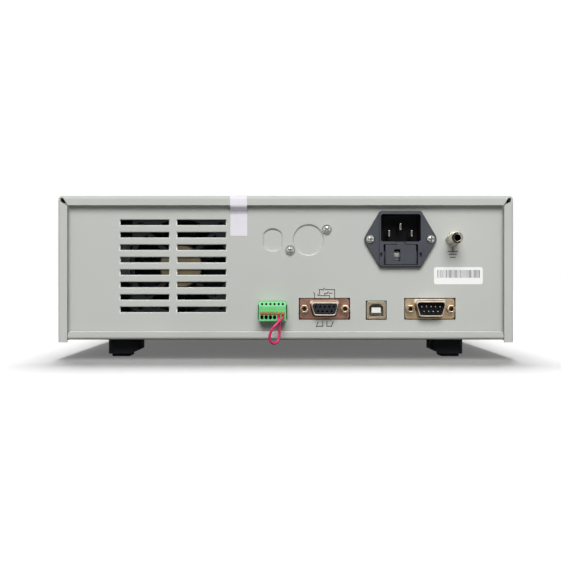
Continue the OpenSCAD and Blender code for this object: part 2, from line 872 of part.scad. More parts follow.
module face_plate() {
    color(black_plastic) difference() {
        union() {
            prism_y(face_y, face_back_y) slab([0, mid_z], [plate_w, plate_h]);
            for (x = boss_xs, z = boss_zs) rod_y([x, z], boss_r, face_back_y - 0.5, board_y);
        }
        prism_y(face_y - 1, face_back_y + 1) {
            slab([display_x, base_z + display_z], [window_w + 0.4, window_h + 0.4]);
            for (z = soft_zs) key_hole([soft_x, z], [soft_w, soft_h]);
            for (p = [up_at, down_at, left_at, right_at]) key_hole(p, [cursor_s, cursor_s]);
            for (z = [start_z, stop_z]) key_hole([run_x, z], [run_w, run_h]);
            key_hole([power_x, power_z], [power_s, power_s]);
            translate([run_x, base_z + lamp_z]) circle(lamp_r + 0.1);
            for (z = [hv_z, return_z]) translate([term_x, base_z + z]) circle(term_r - 1.4);
        }
    }
}

module key_hole(at, size) {
    slab([at[0], base_z + at[1]], size + 2 * [key_gap, key_gap]);
}

module display_window() {
    color([0.1, 0.12, 0.14]) prism_y(face_y + 0.3, face_back_y)
        slab([display_x, base_z + display_z], [window_w, window_h]);
}

module display_module() {
    color(nickel) prism_y(face_back_y, face_back_y + display_t)
        slab([display_x, base_z + display_z], [window_w + 2 * module_lap, window_h + 2 * module_lap]);
}

module key_board() {
    color(board_green) {
        prism_y(board_y, board_y + board_t)
            translate([board_left, boss_zs[0] - boss_r])
                square([board_right - board_left, boss_zs[1] - boss_zs[0] + 2 * boss_r]);
        for (p = concat(small_keys, large_keys))
            prism_y(board_y - tact_l, board_y + 0.5) slab([p[0], base_z + p[1]], [6, 6]);
    }
}

// A key: cap in the face plate, lip behind it, stem towards its switch
module key(at, size, proud, travel) {
    mid = [at[0], base_z + at[1]];
    prism_y(face_y - proud, face_back_y + 0.5) rounded(mid, size, 1);
    prism_y(face_back_y, face_back_y + key_lip_t) slab(mid, size + 2 * [key_lip, key_lip]);
    rod_y(mid, 2, face_back_y + 0.5, board_y - tact_l - travel - 0.2);
}

module soft_key(i) {
    color(key_grey) key([soft_x, soft_zs[i - 1]], [soft_w, soft_h], key_proud, key_travel);
}

module cursor_key(at) {
    color(key_grey) key(at, [cursor_s, cursor_s], key_proud, key_travel);
}

module up_key() {
    cursor_key(up_at);
}

module down_key() {
    cursor_key(down_at);
}

module left_key() {
    cursor_key(left_at);
}

module right_key() {
    cursor_key(right_at);
}

module start_button() {
    color([0.12, 0.62, 0.25]) key([run_x, start_z], [run_w, run_h], key_proud + push_travel, push_travel);
}

module stop_button() {
    color([0.78, 0.1, 0.1]) key([run_x, stop_z], [run_w, run_h], key_proud + push_travel, push_travel);
}

module power_button() {
    color(key_grey) key([power_x, power_z], [power_s, power_s], key_proud + push_travel, push_travel);
}

// An insulated output socket with the nut that holds it behind the face plate
module output_socket(z, bore) {
    mid = [term_x, base_z + z];
    shank = term_r - 1.5;
    difference() {
        union() {
            rod_y(mid, term_r, face_y - term_proud, face_y);
            rod_y(mid, term_flange, face_y - 3, face_y);
            rod_y(mid, shank, face_y - 1, face_back_y + term_back);
        }
        rod_y(mid, bore, face_y - term_proud - 1, face_y - term_proud + term_bore);
    }
    prism_y(face_back_y, face_back_y + 5) difference() {
        translate(mid) circle(shank + 3, $fn = 6);
        translate(mid) circle(shank + 0.1);
    }
}

module high_voltage_socket() {
    color([0.75, 0.08, 0.08]) output_socket(hv_z, hv_bore);
}

module return_socket() {
    color(black_plastic) output_socket(return_z, plug_r);
}

module warning_lamp() {
    mid = [run_x, base_z + lamp_z];
    color([0.85, 0.2, 0.15]) {
        rod_y(mid, lamp_r, face_y - 0.6, face_back_y + 0.5);
        rod_y(mid, lamp_r + 1, face_back_y, board_y);
    }
}

function board_posts() = [
    for (x = [board_x0 + standoff_inset, board_x1 - standoff_inset],
         y = [inside_y - fold_w - standoff_set, board_y0 + standoff_inset]) [x, y]
];

module main_board() {
    color(board_green) {
        block(board_x0, board_x1, board_y0, inside_y - 0.5, board_top - board_t, board_top);
        for (x = [serial_x, handler_x])
            prism_z(board_top - 0.5, board_top + chip_h) slab([x, board_y0 + 2 * chip_s], [chip_s, chip_s]);
        for (side = [-1, 1])
            prism_z(board_top - 0.5, board_top + can_h)
                translate([usb_x + side * 1.5 * can_r, board_y0 + 3 * can_r]) circle(can_r);
    }
}

// Laminated core with a winding on its middle leg
module transformer() {
    coil_x = core_t / 2 + coil_t;
    coil_y = 2 * core_leg - coil_gap;
    color([0.32, 0.32, 0.34]) prism_x(vent_x - core_t / 2, vent_x + core_t / 2) difference() {
        translate([inner_y - 3 * core_leg, floor_z]) square([6 * core_leg, 5 * core_leg]);
        for (side = [-1, 1])
            slab([inner_y + side * 1.5 * core_leg, floor_z + 2.5 * core_leg], [core_leg, 3 * core_leg]);
    }
    color([0.76, 0.6, 0.24]) prism_z(floor_z + core_leg + coil_gap, floor_z + 4 * core_leg - coil_gap)
        difference() {
            slab([vent_x, inner_y], 2 * [coil_x, coil_y]);
            slab([vent_x, inner_y], 2 * [core_t / 2 + coil_gap, core_leg + coil_gap]);
        }
}

module heat_sink() {
    end_y = inside_y - stud_l - sink_gap;
    fin_pitch = (sink_w - fin_t) / (fins - 1);
    color([0.62, 0.63, 0.65]) prism_y(end_y - sink_l, end_y) translate([vent_x - sink_w / 2, floor_z]) {
        square([sink_w, sink_base]);
        for (i = [0:fins - 1]) translate([i * fin_pitch, 0]) square([fin_t, sink_h]);
    }
}

// Folded plate with two capacitors and a choke
module power_supply() {
    left = supply_x - supply_w / 2;
    color([0.66, 0.67, 0.68]) {
        prism_y(inner_y - supply_l / 2, inner_y + supply_l / 2) {
            translate([left, floor_z]) square([supply_w, supply_t]);
            translate([left, floor_z]) square([supply_t, supply_h]);
        }
        prism_z(floor_z + supply_t / 2, floor_z + supply_h - 4) {
            for (side = [-1, 1])
                translate([supply_x + supply_w / 4, inner_y + side * supply_l / 4]) circle(supply_w / 8);
            slab([supply_x - supply_w / 5, inner_y], [supply_w / 3, supply_l / 3]);
        }
    }
}

function fan_corners() = [
    for (sx = [-1, 1], sz = [-1, 1]) [fan_x + sx * fan_hole / 2, vent_mid_z + sz * fan_hole / 2]
];

module fan_frame() {
    mid = [fan_x, vent_mid_z];
    color(black_plastic) {
        difference() {
            prism_y(inside_y - fan_t, inside_y) rounded(mid, [fan_s, fan_s], 4);
            rod_y(mid, fan_bore, inside_y - fan_t - 1, inside_y + 1);
            for (p = fan_corners()) rod_y(p, screw_r + 0.6, inside_y - fan_t - 1, inside_y + 1);
        }
        prism_y(inside_y - 0.5 - stator_t, inside_y - 0.5) difference() {
            union() {
                translate(mid) circle(hub_r);
                for (turn = [45:90:315]) translate(mid) rotate(turn)
                    translate([hub_r - 1, -1.5]) square([fan_bore - hub_r + 1.8, 3]);
            }
            translate(mid) circle(shaft_r + run_gap);
        }
    }
}

module fan_rotor() {
    mid = [fan_x, vent_mid_z];
    color(black_plastic) {
        rod_y(mid, hub_r, rotor_y - rotor_t, rotor_y);
        rod_y(mid, shaft_r, rotor_y - 1, inside_y - 1.2);
        for (i = [0:blades - 1]) intersection() {
            prism_y(rotor_y - rotor_t + 0.5, rotor_y - 0.5) difference() {
                translate(mid) circle(blade_r);
                translate(mid) circle(hub_r - 0.6);
            }
            translate([fan_x, rotor_y - rotor_t / 2, vent_mid_z]) rotate([0, i * 360 / blades, 0])
                rotate([blade_turn, 0, 0]) translate([0, 0, -blade_bow]) prism_x(0, blade_r) difference() {
                    circle(blade_bow + 0.6, $fn = 96);
                    circle(blade_bow - 0.6, $fn = 96);
                    translate([-2 * blade_bow, -2 * blade_bow]) square([4 * blade_bow, 2 * blade_bow]);
                }
        }
    }
}

module fan_nuts() {
    color(nickel) for (p = fan_corners())
        prism_y(inside_y - fan_t - 2.4, inside_y - fan_t) difference() {
            translate(p) circle(3.1, $fn = 6);
            translate(p) circle(screw_r + 0.05);
        }
}

module inlet_outline() {
    hull() {
        for (sx = [-1, 1], sz = [-1, 1])
            translate(inlet_mid + [sx * (inlet_body_w / 2 - inlet_corner), sz * (inlet_h / 2 - inlet_corner)])
                circle(inlet_corner, $fn = 32);
        for (sx = [-1, 1])
            translate(inlet_mid + [sx * (inlet_w / 2 - inlet_tip), 0]) circle(inlet_tip, $fn = 32);
    }
}

module inlet_body() {
    floor_y = inlet_face_y - recess_d;
    pocket = [drawer_w + 2 * drawer_gap, drawer_h + 2 * drawer_gap];
    color(dark_plastic) difference() {
        union() {
            prism_y(panel_y, panel_y + inlet_t) inlet_outline();
            prism_y(panel_y, inlet_face_y)
                rounded(inlet_mid, [inlet_body_w, inlet_h] - rim_inset, inlet_corner);
            prism_y(panel_y - inlet_body_d, panel_y + 1)
                rounded(inlet_mid, [inlet_body_w, inlet_body_h], housing_r);
        }
        prism_y(floor_y, inlet_face_y + 1) rounded(recess_mid, [recess_w, recess_h], recess_r);
        prism_y(inlet_face_y - drawer_l - 0.5, inlet_face_y + 1) slab(drawer_mid, pocket);
        prism_y(inlet_face_y - 1.6, inlet_face_y + 1)
            slab(drawer_mid + [0, pocket[1] / 2 + 0.6], [drawer_tab + 2 * drawer_gap, 2.4]);
        for (side = [-1, 1]) {
            prism_y(inlet_face_y - 2.5, inlet_face_y + 1)
                slab(drawer_mid + [side * (pocket[0] / 2 + notch_set), 0], notch_size);
            rod_y(inlet_mid + [side * inlet_screw / 2, 0], screw_hole, panel_y - 1, panel_y + inlet_t + 1);
        }
        for (p = pin_mids) prism_y(panel_y - inlet_body_d - 1, floor_y + 1) slab(p, pin_size);
    }
}

module inlet_pins() {
    floor_y = inlet_face_y - recess_d;
    tip_y = inlet_face_y - pin_short;
    color(nickel) for (p = pin_mids) {
        prism_y(panel_y - inlet_body_d - tab_l, tip_y - 1.2) slab(p, pin_size);
        intersection() {
            prism_y(tip_y - 1.3, tip_y) slab(p, pin_size);
            translate([0, 0, p[1]]) prism_z(-3, 3) polygon([
                [p[0] - 1, tip_y - 2], [p[0] + 1, tip_y - 2], [p[0] + 1, tip_y - 1],
                [p[0] + 0.4, tip_y], [p[0] - 0.4, tip_y], [p[0] - 1, tip_y - 1]
            ]);
        }
    }
}

module fuse_drawer() {
    face = inlet_face_y - 0.2;
    bed = [drawer_mid[0], drawer_mid[1] - 2];
    color(dark_plastic) difference() {
        union() {
            prism_y(face - 2.4, face) rounded(drawer_mid, [drawer_w - 2 * drawer_grip, drawer_h], 0.6);
            prism_y(face - 1.2, face) slab(drawer_mid + [0, drawer_h / 2 + 0.4], [drawer_tab, 1.6]);
            prism_y(inlet_face_y - drawer_l, face - 2) slab(bed, [drawer_w, drawer_h - 4]);
        }
        for (y = fuse_ys) translate([drawer_mid[0], y, drawer_mid[1]]) {
            rotate([0, 90, 0]) cylinder(h = drawer_w + 2, r = trough_r, center = true);
            translate([0, 0, drawer_h / 2]) cube([drawer_w + 2, 2 * trough_r, drawer_h], center = true);
        }
        prism_y(face - 4, face + 1) slab(drawer_mid + peep_shift, peep_size);
    }
}

module fuses() {
    color([0.78, 0.8, 0.8]) for (y = fuse_ys)
        translate([drawer_mid[0], y, drawer_mid[1]]) rotate([0, 90, 0]) {
            cylinder(h = fuse_l - 1, r = fuse_r - 0.2, center = true);
            for (side = [-1, 1]) translate([0, 0, side * (fuse_l - fuse_cap) / 2])
                cylinder(h = fuse_cap, r = fuse_r, center = true);
        }
}

module ground_terminal() {
    color(nickel) difference() {
        union() {
            prism_y(panel_y, panel_y + post_hex_l) translate(post_mid)
                circle(post_hex / 2 / cos(30), $fn = 6);
            rod_y(post_mid, post_r, panel_y + 1, panel_y + post_l);
            rod_y(post_mid, plug_r, inside_y - 8, panel_y + 1);
        }
        rod_y(post_mid, plug_r, panel_y + post_l - post_bore, panel_y + post_l + 1);
        prism_y(panel_y + post_hex_l + 1.2, panel_y + post_hex_l + 2) difference() {
            translate(post_mid) circle(post_r + 1);
            translate(post_mid) circle(post_r - 0.5);
        }
    }
}

module ground_nut() {
    color(nickel) difference() {
        union() {
            rod_y(post_mid, 5, inside_y - 0.8, inside_y);
            prism_y(inside_y - 0.8 - nut_l, inside_y - 0.6) translate(post_mid) circle(4, $fn = 6);
        }
        rod_y(post_mid, plug_r + 0.05, inside_y - 10, inside_y + 1);
    }
}

function way_x(i) = sig_x + (3.5 - i) * sig_pitch;

module signal_header() {
    back_y = inside_y - header_d;
    color([0.16, 0.3, 0.2]) {
        difference() {
            block(sig_x - header_w / 2, sig_x + header_w / 2, back_y, header_face_y, board_top, header_top);
            block(sig_x - header_w / 2 + header_wall, sig_x + header_w / 2 - header_wall,
                  back_y + 1.5, header_face_y + 1, board_top + header_wall, header_top - header_wall);
        }
        for (i = [1:6]) rod_y([way_x(i), sig_mid_z], 0.4, back_y + 1, panel_y - 1);
    }
}

// Side view of the plug: nose in the header, stepped housing outside
module plug_section() {
    low = sig_mid_z - 5;
    translate([panel_y - nose_l, board_top + header_wall + nose_gap])
        square([nose_l + 2, header_top - board_top - 2 * header_wall - 2 * nose_gap]);
    polygon([
        [panel_y + 0.8, low], [plug_face_y, low], [plug_face_y, sig_mid_z + 3.6],
        [plug_face_y - 0.5, sig_mid_z + 4.1], [plug_face_y - 2.6, sig_mid_z + 4.1],
        [plug_face_y - 3.4, sig_mid_z + 6.6], [plug_face_y - 4.2, sig_mid_z + 7.2],
        [panel_y + 0.8, sig_mid_z + 7.2]
    ]);
}

module signal_plug() {
    color(block_green) difference() {
        intersection() {
            prism_x(sig_x - plug_w / 2, sig_x + plug_w / 2) plug_section();
            union() {
                block(sig_x - nose_w / 2, sig_x + nose_w / 2, panel_y - nose_l - 1, panel_y + 1, 0, top_z);
                block(sig_x - plug_w / 2, sig_x + plug_w / 2, panel_y + 0.8, plug_face_y + 1, 0, top_z);
            }
        }
        for (i = [1:6]) {
            rod_y([way_x(i), sig_mid_z], contact_r, panel_y - nose_l - 1, panel_y);
            rod_y([way_x(i), probe_z], probe_r, plug_face_y - probe_depth, plug_face_y);
            prism_y(plug_face_y - wire_depth, plug_face_y + 1) wire_mouth(i);
            prism_y(plug_face_y - release_l - 0.1, plug_face_y + 1)
                slab([way_x(i), release_z], release_size + 2 * [release_gap, release_gap]);
        }
    }
}

module wire_mouth(i) {
    rounded([way_x(i), wire_z], wire_hole, 0.8);
}

module release_button(i) {
    color(lever_orange)
        prism_y(plug_face_y - release_l + release_travel, plug_face_y + release_proud)
            slab([way_x(i), release_z], release_size);
}

function unit(v) = v / norm(v);
function heading(p, i) = unit(p[min(i + 1, len(p) - 1)] - p[max(i - 1, 0)]);
function square_off(v, t) = unit(v - t * (v * t));
function side_of(p, i) = square_off(i == 0 ? [0, 0, 1] : side_of(p, i - 1), heading(p, i));
function ring(p, i, r, n) = let (a = side_of(p, i), b = cross(heading(p, i), a))
    [for (k = [0:n - 1]) p[i] + r * (cos(360 * k / n) * a + sin(360 * k / n) * b)];

module tube(path, r, n) {
    last = len(path) - 1;
    polyhedron(
        points = [for (i = [0:last]) each ring(path, i, r, n)],
        faces = concat(
            [[for (k = [0:n - 1]) k], [for (k = [n - 1:-1:0]) last * n + k]],
            [for (i = [0:last - 1], k = [0:n - 1])
                [i * n + k, (i + 1) * n + k, (i + 1) * n + (k + 1) % n, i * n + (k + 1) % n]]
        )
    );
}

module jumper_wire() {
    path = [for (i = [0:len(wire_route) - 1])
        let (s = lookup(i / (len(wire_route) - 1), wire_shift))
        [s + wire_route[i][0], plug_face_y + wire_route[i][1], wire_z + wire_route[i][2]]];
    color([0.91, 0.27, 0.5]) tube(path, wire_r, wire_sides);
}

// The outline of a nine-way connector: wider at the top, with slanting sides
module dsub_outline(x, w, h) {
    r = 1.6;
    slant = h * tan(10);
    hull() for (side = [-1, 1]) {
        translate([x + side * (w / 2 - r), dsub_mid_z + h / 2 - r]) circle(r, $fn = 32);
        translate([x + side * (w / 2 - r - slant), dsub_mid_z - h / 2 + r]) circle(r, $fn = 32);
    }
}

// The root of a drawn shell, flared into its flange
module dsub_skirt(x, w, h) {
    flare = 2 * (shell_skirt + skirt_sink);
    hull() {
        prism_y(dsub_y - 2 * skirt_sink, dsub_y - skirt_sink) dsub_outline(x, w + flare, h + flare);
        prism_y(dsub_y, dsub_y + shell_skirt + skirt_sink)
            dsub_outline(x, w - 2 * skirt_sink, h - 2 * skirt_sink);
    }
}

module dsub_shell(x, w, h) {
    difference() {
        union() {
            prism_y(dsub_y - dsub_t, dsub_y) rounded([x, dsub_mid_z], [dsub_w, dsub_h], 1.5);
            prism_y(dsub_y - dsub_t, dsub_y + shell_l) dsub_outline(x, w, h);
            dsub_skirt(x, w, h);
        }
        prism_y(dsub_y - dsub_t - 1, dsub_y + shell_l + 1)
            dsub_outline(x, w - 2 * shell_t, h - 2 * shell_t);
        for (side = [-1, 1])
            rod_y([x + side * jack_pitch / 2, dsub_mid_z], jack_stud + 0.15, dsub_y - 3, dsub_y + 1);
    }
}

// Housing on the board behind the flange, and the part of the insulator that fills the shell
module dsub_insulator(x, w, h, face) {
    block(x - dsub_w / 2 + 0.5, x + dsub_w / 2 - 0.5, dsub_y - dsub_t - dsub_back, dsub_y - dsub_t,
          board_top, dsub_mid_z + dsub_h / 2 - 0.6);
    prism_y(dsub_y - dsub_t - 1, face) dsub_outline(x, w - 2 * shell_t - 0.1, h - 2 * shell_t - 0.1);
}

function contacts(x) = concat(
    [for (i = [-2:2]) [x + i * contact_pitch, dsub_mid_z + contact_row / 2]],
    [for (i = [-1.5:1.5]) [x + i * contact_pitch, dsub_mid_z - contact_row / 2]]
);

module jack_holes(x) {
    for (side = [-1, 1])
        rod_y([x + side * jack_pitch / 2, dsub_mid_z], jack_stud + 0.15,
              dsub_y - dsub_t - dsub_back - 1, dsub_y + 1);
}

module handler_shell() {
    color([0.6, 0.47, 0.38]) dsub_shell(handler_x, socket_w, socket_h);
}

module handler_insulator() {
    face = dsub_y + shell_l - 0.3;
    color(black_plastic) difference() {
        dsub_insulator(handler_x, socket_w, socket_h, face);
        for (p = contacts(handler_x)) rod_y(p, 0.65, face - 5, face + 1);
        jack_holes(handler_x);
    }
}

module serial_shell() {
    color([0.7, 0.64, 0.5]) dsub_shell(serial_x, pin_w, pin_h);
}

module serial_insulator() {
    color(black_plastic) difference() {
        dsub_insulator(serial_x, pin_w, pin_h, dsub_y + 0.4);
        for (p = contacts(serial_x)) rod_y(p, 0.5, dsub_y - 4, dsub_y + 1);
        jack_holes(serial_x);
    }
}

module serial_pins() {
    color(nickel) for (p = contacts(serial_x)) {
        rod_y(p, 0.5, dsub_y - 4, dsub_y + shell_l - 1);
        translate([p[0], dsub_y + shell_l - 1, p[1]]) rotate([-90, 0, 0])
            cylinder(h = 0.5, r1 = 0.5, r2 = 0.25);
    }
}

module jackscrews() {
    color(nickel) for (x = [handler_x, serial_x], side = [-1, 1]) {
        mid = [x + side * jack_pitch / 2, dsub_mid_z];
        difference() {
            union() {
                prism_y(dsub_y, dsub_y + jack_l) translate(mid) circle(jack_hex / 2 / cos(30), $fn = 6);
                rod_y(mid, jack_stud, dsub_y - dsub_t - jack_tail, dsub_y + 1);
            }
            rod_y(mid, jack_bore, dsub_y + 0.8, dsub_y + jack_l + 1);
        }
    }
}

module usb_mouth() {
    x = usb_open[0] / 2;
    z = usb_open[1] / 2;
    cut = 1.9;
    translate([usb_x, usb_mid_z])
        polygon([[-x, -z], [x, -z], [x, z - cut], [x - cut, z], [-x + cut, z], [-x, z - cut]]);
}

module usb_shell() {
    color(nickel) difference() {
        prism_y(usb_y - usb_l, usb_y) rounded([usb_x, usb_mid_z], [usb_w, usb_h], 0.8);
        prism_y(usb_y - usb_l + 1, usb_y - usb_wall)
            slab([usb_x, usb_mid_z], [usb_w - 2 * usb_wall, usb_h - 2 * usb_wall]);
        prism_y(usb_y - 2, usb_y + 1) usb_mouth();
    }
}

module usb_tongue() {
    back_y = usb_y - usb_l + 1;
    color([0.92, 0.92, 0.9]) {
        prism_y(back_y, back_y + 4)
            slab([usb_x, usb_mid_z], [usb_w - 2 * usb_wall - 0.1, usb_h - 2 * usb_wall - 0.1]);
        prism_y(back_y + 3, usb_y - 0.8) slab([usb_x, usb_mid_z], tongue);
    }
}

bottom_pan();
top_cover();
rear_panel();
blanking_plate();
case_screws();
panel_screws();
feet();
foot_pads();
tilt_leg_left();
tilt_leg_right();
front_bezel();
face_plate();
display_window();
display_module();
key_board();
power_button();
start_button();
stop_button();
for (i = [1:5]) soft_key(i);
up_key();
down_key();
left_key();
right_key();
high_voltage_socket();
return_socket();
warning_lamp();
main_board();
transformer();
heat_sink();
power_supply();
fan_frame();
fan_rotor();
fan_nuts();
inlet_body();
inlet_pins();
fuse_drawer();
fuses();
ground_terminal();
ground_nut();
signal_header();
signal_plug();
for (i = [1:6]) release_button(i);
jumper_wire();
handler_shell();
handler_insulator();
serial_shell();
serial_insulator();
serial_pins();
jackscrews();
usb_shell();
usb_tongue();
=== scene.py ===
import json
import math

import bmesh
import bpy
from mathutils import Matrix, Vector


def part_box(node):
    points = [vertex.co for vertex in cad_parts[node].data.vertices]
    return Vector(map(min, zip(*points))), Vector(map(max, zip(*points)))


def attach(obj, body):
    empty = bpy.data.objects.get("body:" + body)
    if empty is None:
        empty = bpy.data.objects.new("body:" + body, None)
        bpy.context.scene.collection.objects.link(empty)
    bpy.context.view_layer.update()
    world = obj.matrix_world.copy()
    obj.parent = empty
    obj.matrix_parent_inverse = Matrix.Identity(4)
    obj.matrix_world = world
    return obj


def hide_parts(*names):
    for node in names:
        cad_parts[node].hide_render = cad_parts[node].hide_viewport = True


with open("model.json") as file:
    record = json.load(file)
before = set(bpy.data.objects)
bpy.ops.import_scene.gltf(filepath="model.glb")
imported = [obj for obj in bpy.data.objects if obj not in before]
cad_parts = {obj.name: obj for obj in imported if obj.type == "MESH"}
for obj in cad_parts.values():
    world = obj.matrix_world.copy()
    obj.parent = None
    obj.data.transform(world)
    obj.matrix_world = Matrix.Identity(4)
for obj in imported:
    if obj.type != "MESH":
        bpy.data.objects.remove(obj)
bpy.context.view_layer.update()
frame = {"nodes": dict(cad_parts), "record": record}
nodes = frame["nodes"]
scene = bpy.context.scene
mm = 0.001
touch = 0.01    # mm; what lies this near a face counts as on it

slotOf = {part["node"]: part["material_slot"] for part in frame["record"]["subparts"]}
bodyOf = {node: body for body, members in frame["record"]["behaviour"]["bodies"].items() for node in members}

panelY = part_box("rear_panel")[1].y / mm     # outer face of the connector panel
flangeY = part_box("top_cover")[1].y / mm     # outer face of the cover's rear flange
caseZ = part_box("top_cover")[0].z / mm       # lower edge of the case
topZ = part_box("top_cover")[1].z / mm
print("frame loaded", len(nodes), "nodes")


# Camera: level, square to the connector panel
camera = {
    "distance": 600,        # from the panel
    "viewWidth": 347,       # what the frame is wide at the panel
    "aim": (3.2, 48),       # sideways and height of the middle of the picture
}


def addCamera():
    lens = bpy.data.cameras.new("camera")
    lens.lens = lens.sensor_width * camera["distance"] / camera["viewWidth"]
    eye = bpy.data.objects.new("camera", lens)
    eye.location = Vector((camera["aim"][0], panelY + camera["distance"], camera["aim"][1])) * mm
    eye.rotation_euler = (math.pi / 2, 0, math.pi)
    scene.collection.objects.link(eye)
    scene.camera = eye


addCamera()


# Small tools
def linear(hexCode):
    parts = [int(hexCode[i:i + 2], 16) / 255 for i in (1, 3, 5)]
    return [c / 12.92 if c <= 0.04045 else ((c + 0.055) / 1.055) ** 2.4 for c in parts] + [1]


def addNode(tree, kind, settings=None, links=None):
    node = tree.nodes.new(kind)
    for key, value in (settings or {}).items():
        if isinstance(key, str) and hasattr(node, key):
            setattr(node, key, value)
        else:
            node.inputs[key].default_value = value
    for key, source in (links or {}).items():
        tree.links.new(source, node.inputs[key])
    return node


def newMaterial(name, hexCode, roughness, metallic=0, **more):
    material = bpy.data.materials.new(name)
    material.use_nodes = True
    shader = material.node_tree.nodes["Principled BSDF"]
    shader.inputs["Base Color"].default_value = linear(hexCode)
    shader.inputs["Roughness"].default_value = roughness
    shader.inputs["Metallic"].default_value = metallic
    for key, value in more.items():
        shader.inputs[key.replace("_", " ")].default_value = value
    return material, material.node_tree, shader


noise = {"fineDetail": 3, "broadDetail": 2, "tintStops": (0.3, 0.7)}


# Fine grain for bump and gloss, broad drift for colour; sizes in mm
def surfaceGrain(tree, shader, grain, depth, colours, gloss, drift, stretch=(1, 1, 1)):
    spot = addNode(tree, "ShaderNodeTexCoord")
    turn = addNode(tree, "ShaderNodeMapping", {"Scale": stretch}, {"Vector": spot.outputs["Object"]})
    fine = addNode(tree, "ShaderNodeTexNoise", {"Scale": 1 / (grain * mm), "Detail": noise["fineDetail"]},
                   {"Vector": turn.outputs["Vector"]})
    broad = addNode(tree, "ShaderNodeTexNoise", {"Scale": 1 / (drift * mm), "Detail": noise["broadDetail"]},
                    {"Vector": turn.outputs["Vector"]})
    tint = addNode(tree, "ShaderNodeValToRGB", {}, {"Fac": broad.outputs["Fac"]})
    for stop, place, hexCode in zip(tint.color_ramp.elements, noise["tintStops"], colours):
        stop.position = place
        stop.color = linear(hexCode)
    rough = addNode(tree, "ShaderNodeMapRange", {"To Min": gloss[0], "To Max": gloss[1]},
                    {"Value": fine.outputs["Fac"]})
    bump = addNode(tree, "ShaderNodeBump", {"Distance": depth * mm}, {"Height": fine.outputs["Fac"]})
    tree.links.new(tint.outputs["Color"], shader.inputs["Base Color"])
    tree.links.new(rough.outputs["Result"], shader.inputs["Roughness"])
    tree.links.new(bump.outputs["Normal"], shader.inputs["Normal"])


# Powder-coated steel: satin light grey with a fine orange peel; on folded and punched edges it runs glossier
def powderCoat(name, gloss, sheen, peel):
    material, tree, shader = newMaterial(name, "#BFC1BC", roughness=0.45, IOR=1.5, Specular_IOR_Level=sheen)
    # the peel is drawn coarser than life
    surfaceGrain(tree, shader, grain=0.9, depth=peel, colours=("#BDBFBA", "#C2C4BF"), gloss=gloss,
                 drift=70)
    return material


# Moulded thermoplastic: spark-eroded grain, dull sheen
def mouldedPlastic(name, dark, light, gloss=(0.42, 0.55), grain=0.6, depth=0.02, sheen=0.5):
    material, tree, shader = newMaterial(name, dark, roughness=0.5, IOR=1.53, Specular_IOR_Level=sheen)
    surfaceGrain(tree, shader, grain=grain, depth=depth, colours=(dark, light), gloss=gloss,
                 drift=12)
    return material


# Smooth gloss moulding: keycaps, sockets, lamp
def glossPlastic(name, dark, light):
    material, tree, shader = newMaterial(name, dark, roughness=0.25, IOR=1.49, Coat_Weight=0.3)
    surfaceGrain(tree, shader, grain=1.5, depth=0.006, colours=(dark, light), gloss=(0.2, 0.3),
                 drift=9)
    return material


# Vulcanised rubber: matt, dusty in the grain
def footRubber():
    material, tree, shader = newMaterial("vulcanisedRubber", "#141414", roughness=0.8, IOR=1.52)
    surfaceGrain(tree, shader, grain=0.5, depth=0.03, colours=("#111111", "#1B1B1B"), gloss=(0.72, 0.9),
                 drift=6)
    return material


# Plated metal: bright, with faint draw lines along one way
def platedMetal(name, dark, light, gloss):
    material, tree, shader = newMaterial(name, dark, roughness=0.3, metallic=1)
    surfaceGrain(tree, shader, grain=0.35, depth=0.004, colours=(dark, light), gloss=gloss,
                 drift=5, stretch=(1, 0.15, 1))
    return material


# Printed polyester film: fine matt hard coat
def printedFilm(name, dark, light):
    material, tree, shader = newMaterial(name, dark, roughness=0.5, IOR=1.58)
    surfaceGrain(tree, shader, grain=0.4, depth=0.006, colours=(dark, light), gloss=(0.46, 0.58),
                 drift=30)
    return material


# Tinted acrylic over a dark display: a near-black mirror
def tintedAcrylic():
    material, tree, shader = newMaterial("tintedAcrylic", "#0A0D10", roughness=0.06, IOR=1.49,
                                         Coat_Weight=0.4)
    surfaceGrain(tree, shader, grain=20, depth=0.002, colours=("#090C0F", "#0D1114"), gloss=(0.04, 0.08),
                 drift=60)
    return material


# Solder mask over copper: tracks show as slightly lighter lines
def solderMask():
    material, tree, shader = newMaterial("solderMaskedBoard", "#14512E", roughness=0.35, IOR=1.55)
    surfaceGrain(tree, shader, grain=1.2, depth=0.02, colours=("#114627", "#1C6438"), gloss=(0.28, 0.42),
                 drift=4, stretch=(1, 0.2, 1))
    return material


# Label paper: coated white with faint fibre
def labelPaper(name, dark, light):
    material, tree, shader = newMaterial(name, light, roughness=0.6, IOR=1.45)
    surfaceGrain(tree, shader, grain=0.7, depth=0.008, colours=(dark, light), gloss=(0.52, 0.68),
                 drift=15)
    return material


# Borosilicate fuse tube: clear, slightly green at the edges
def fuseGlass():
    material, tree, shader = newMaterial("fuseGlass", "#E9EFEC", roughness=0.08, IOR=1.47,
                                         Transmission_Weight=0.6)
    surfaceGrain(tree, shader, grain=3, depth=0.002, colours=("#E2E9E6", "#F2F6F4"), gloss=(0.06, 0.12),
                 drift=8)
    return material


# Soft PVC insulation: smooth with a slight bloom
def wirePvc():
    material, tree, shader = newMaterial("softPvcPink", "#DC2468", roughness=0.32, IOR=1.53)
    surfaceGrain(tree, shader, grain=0.8, depth=0.01, colours=("#D41A60", "#E43072"), gloss=(0.26, 0.38),
                 drift=4)
    return material


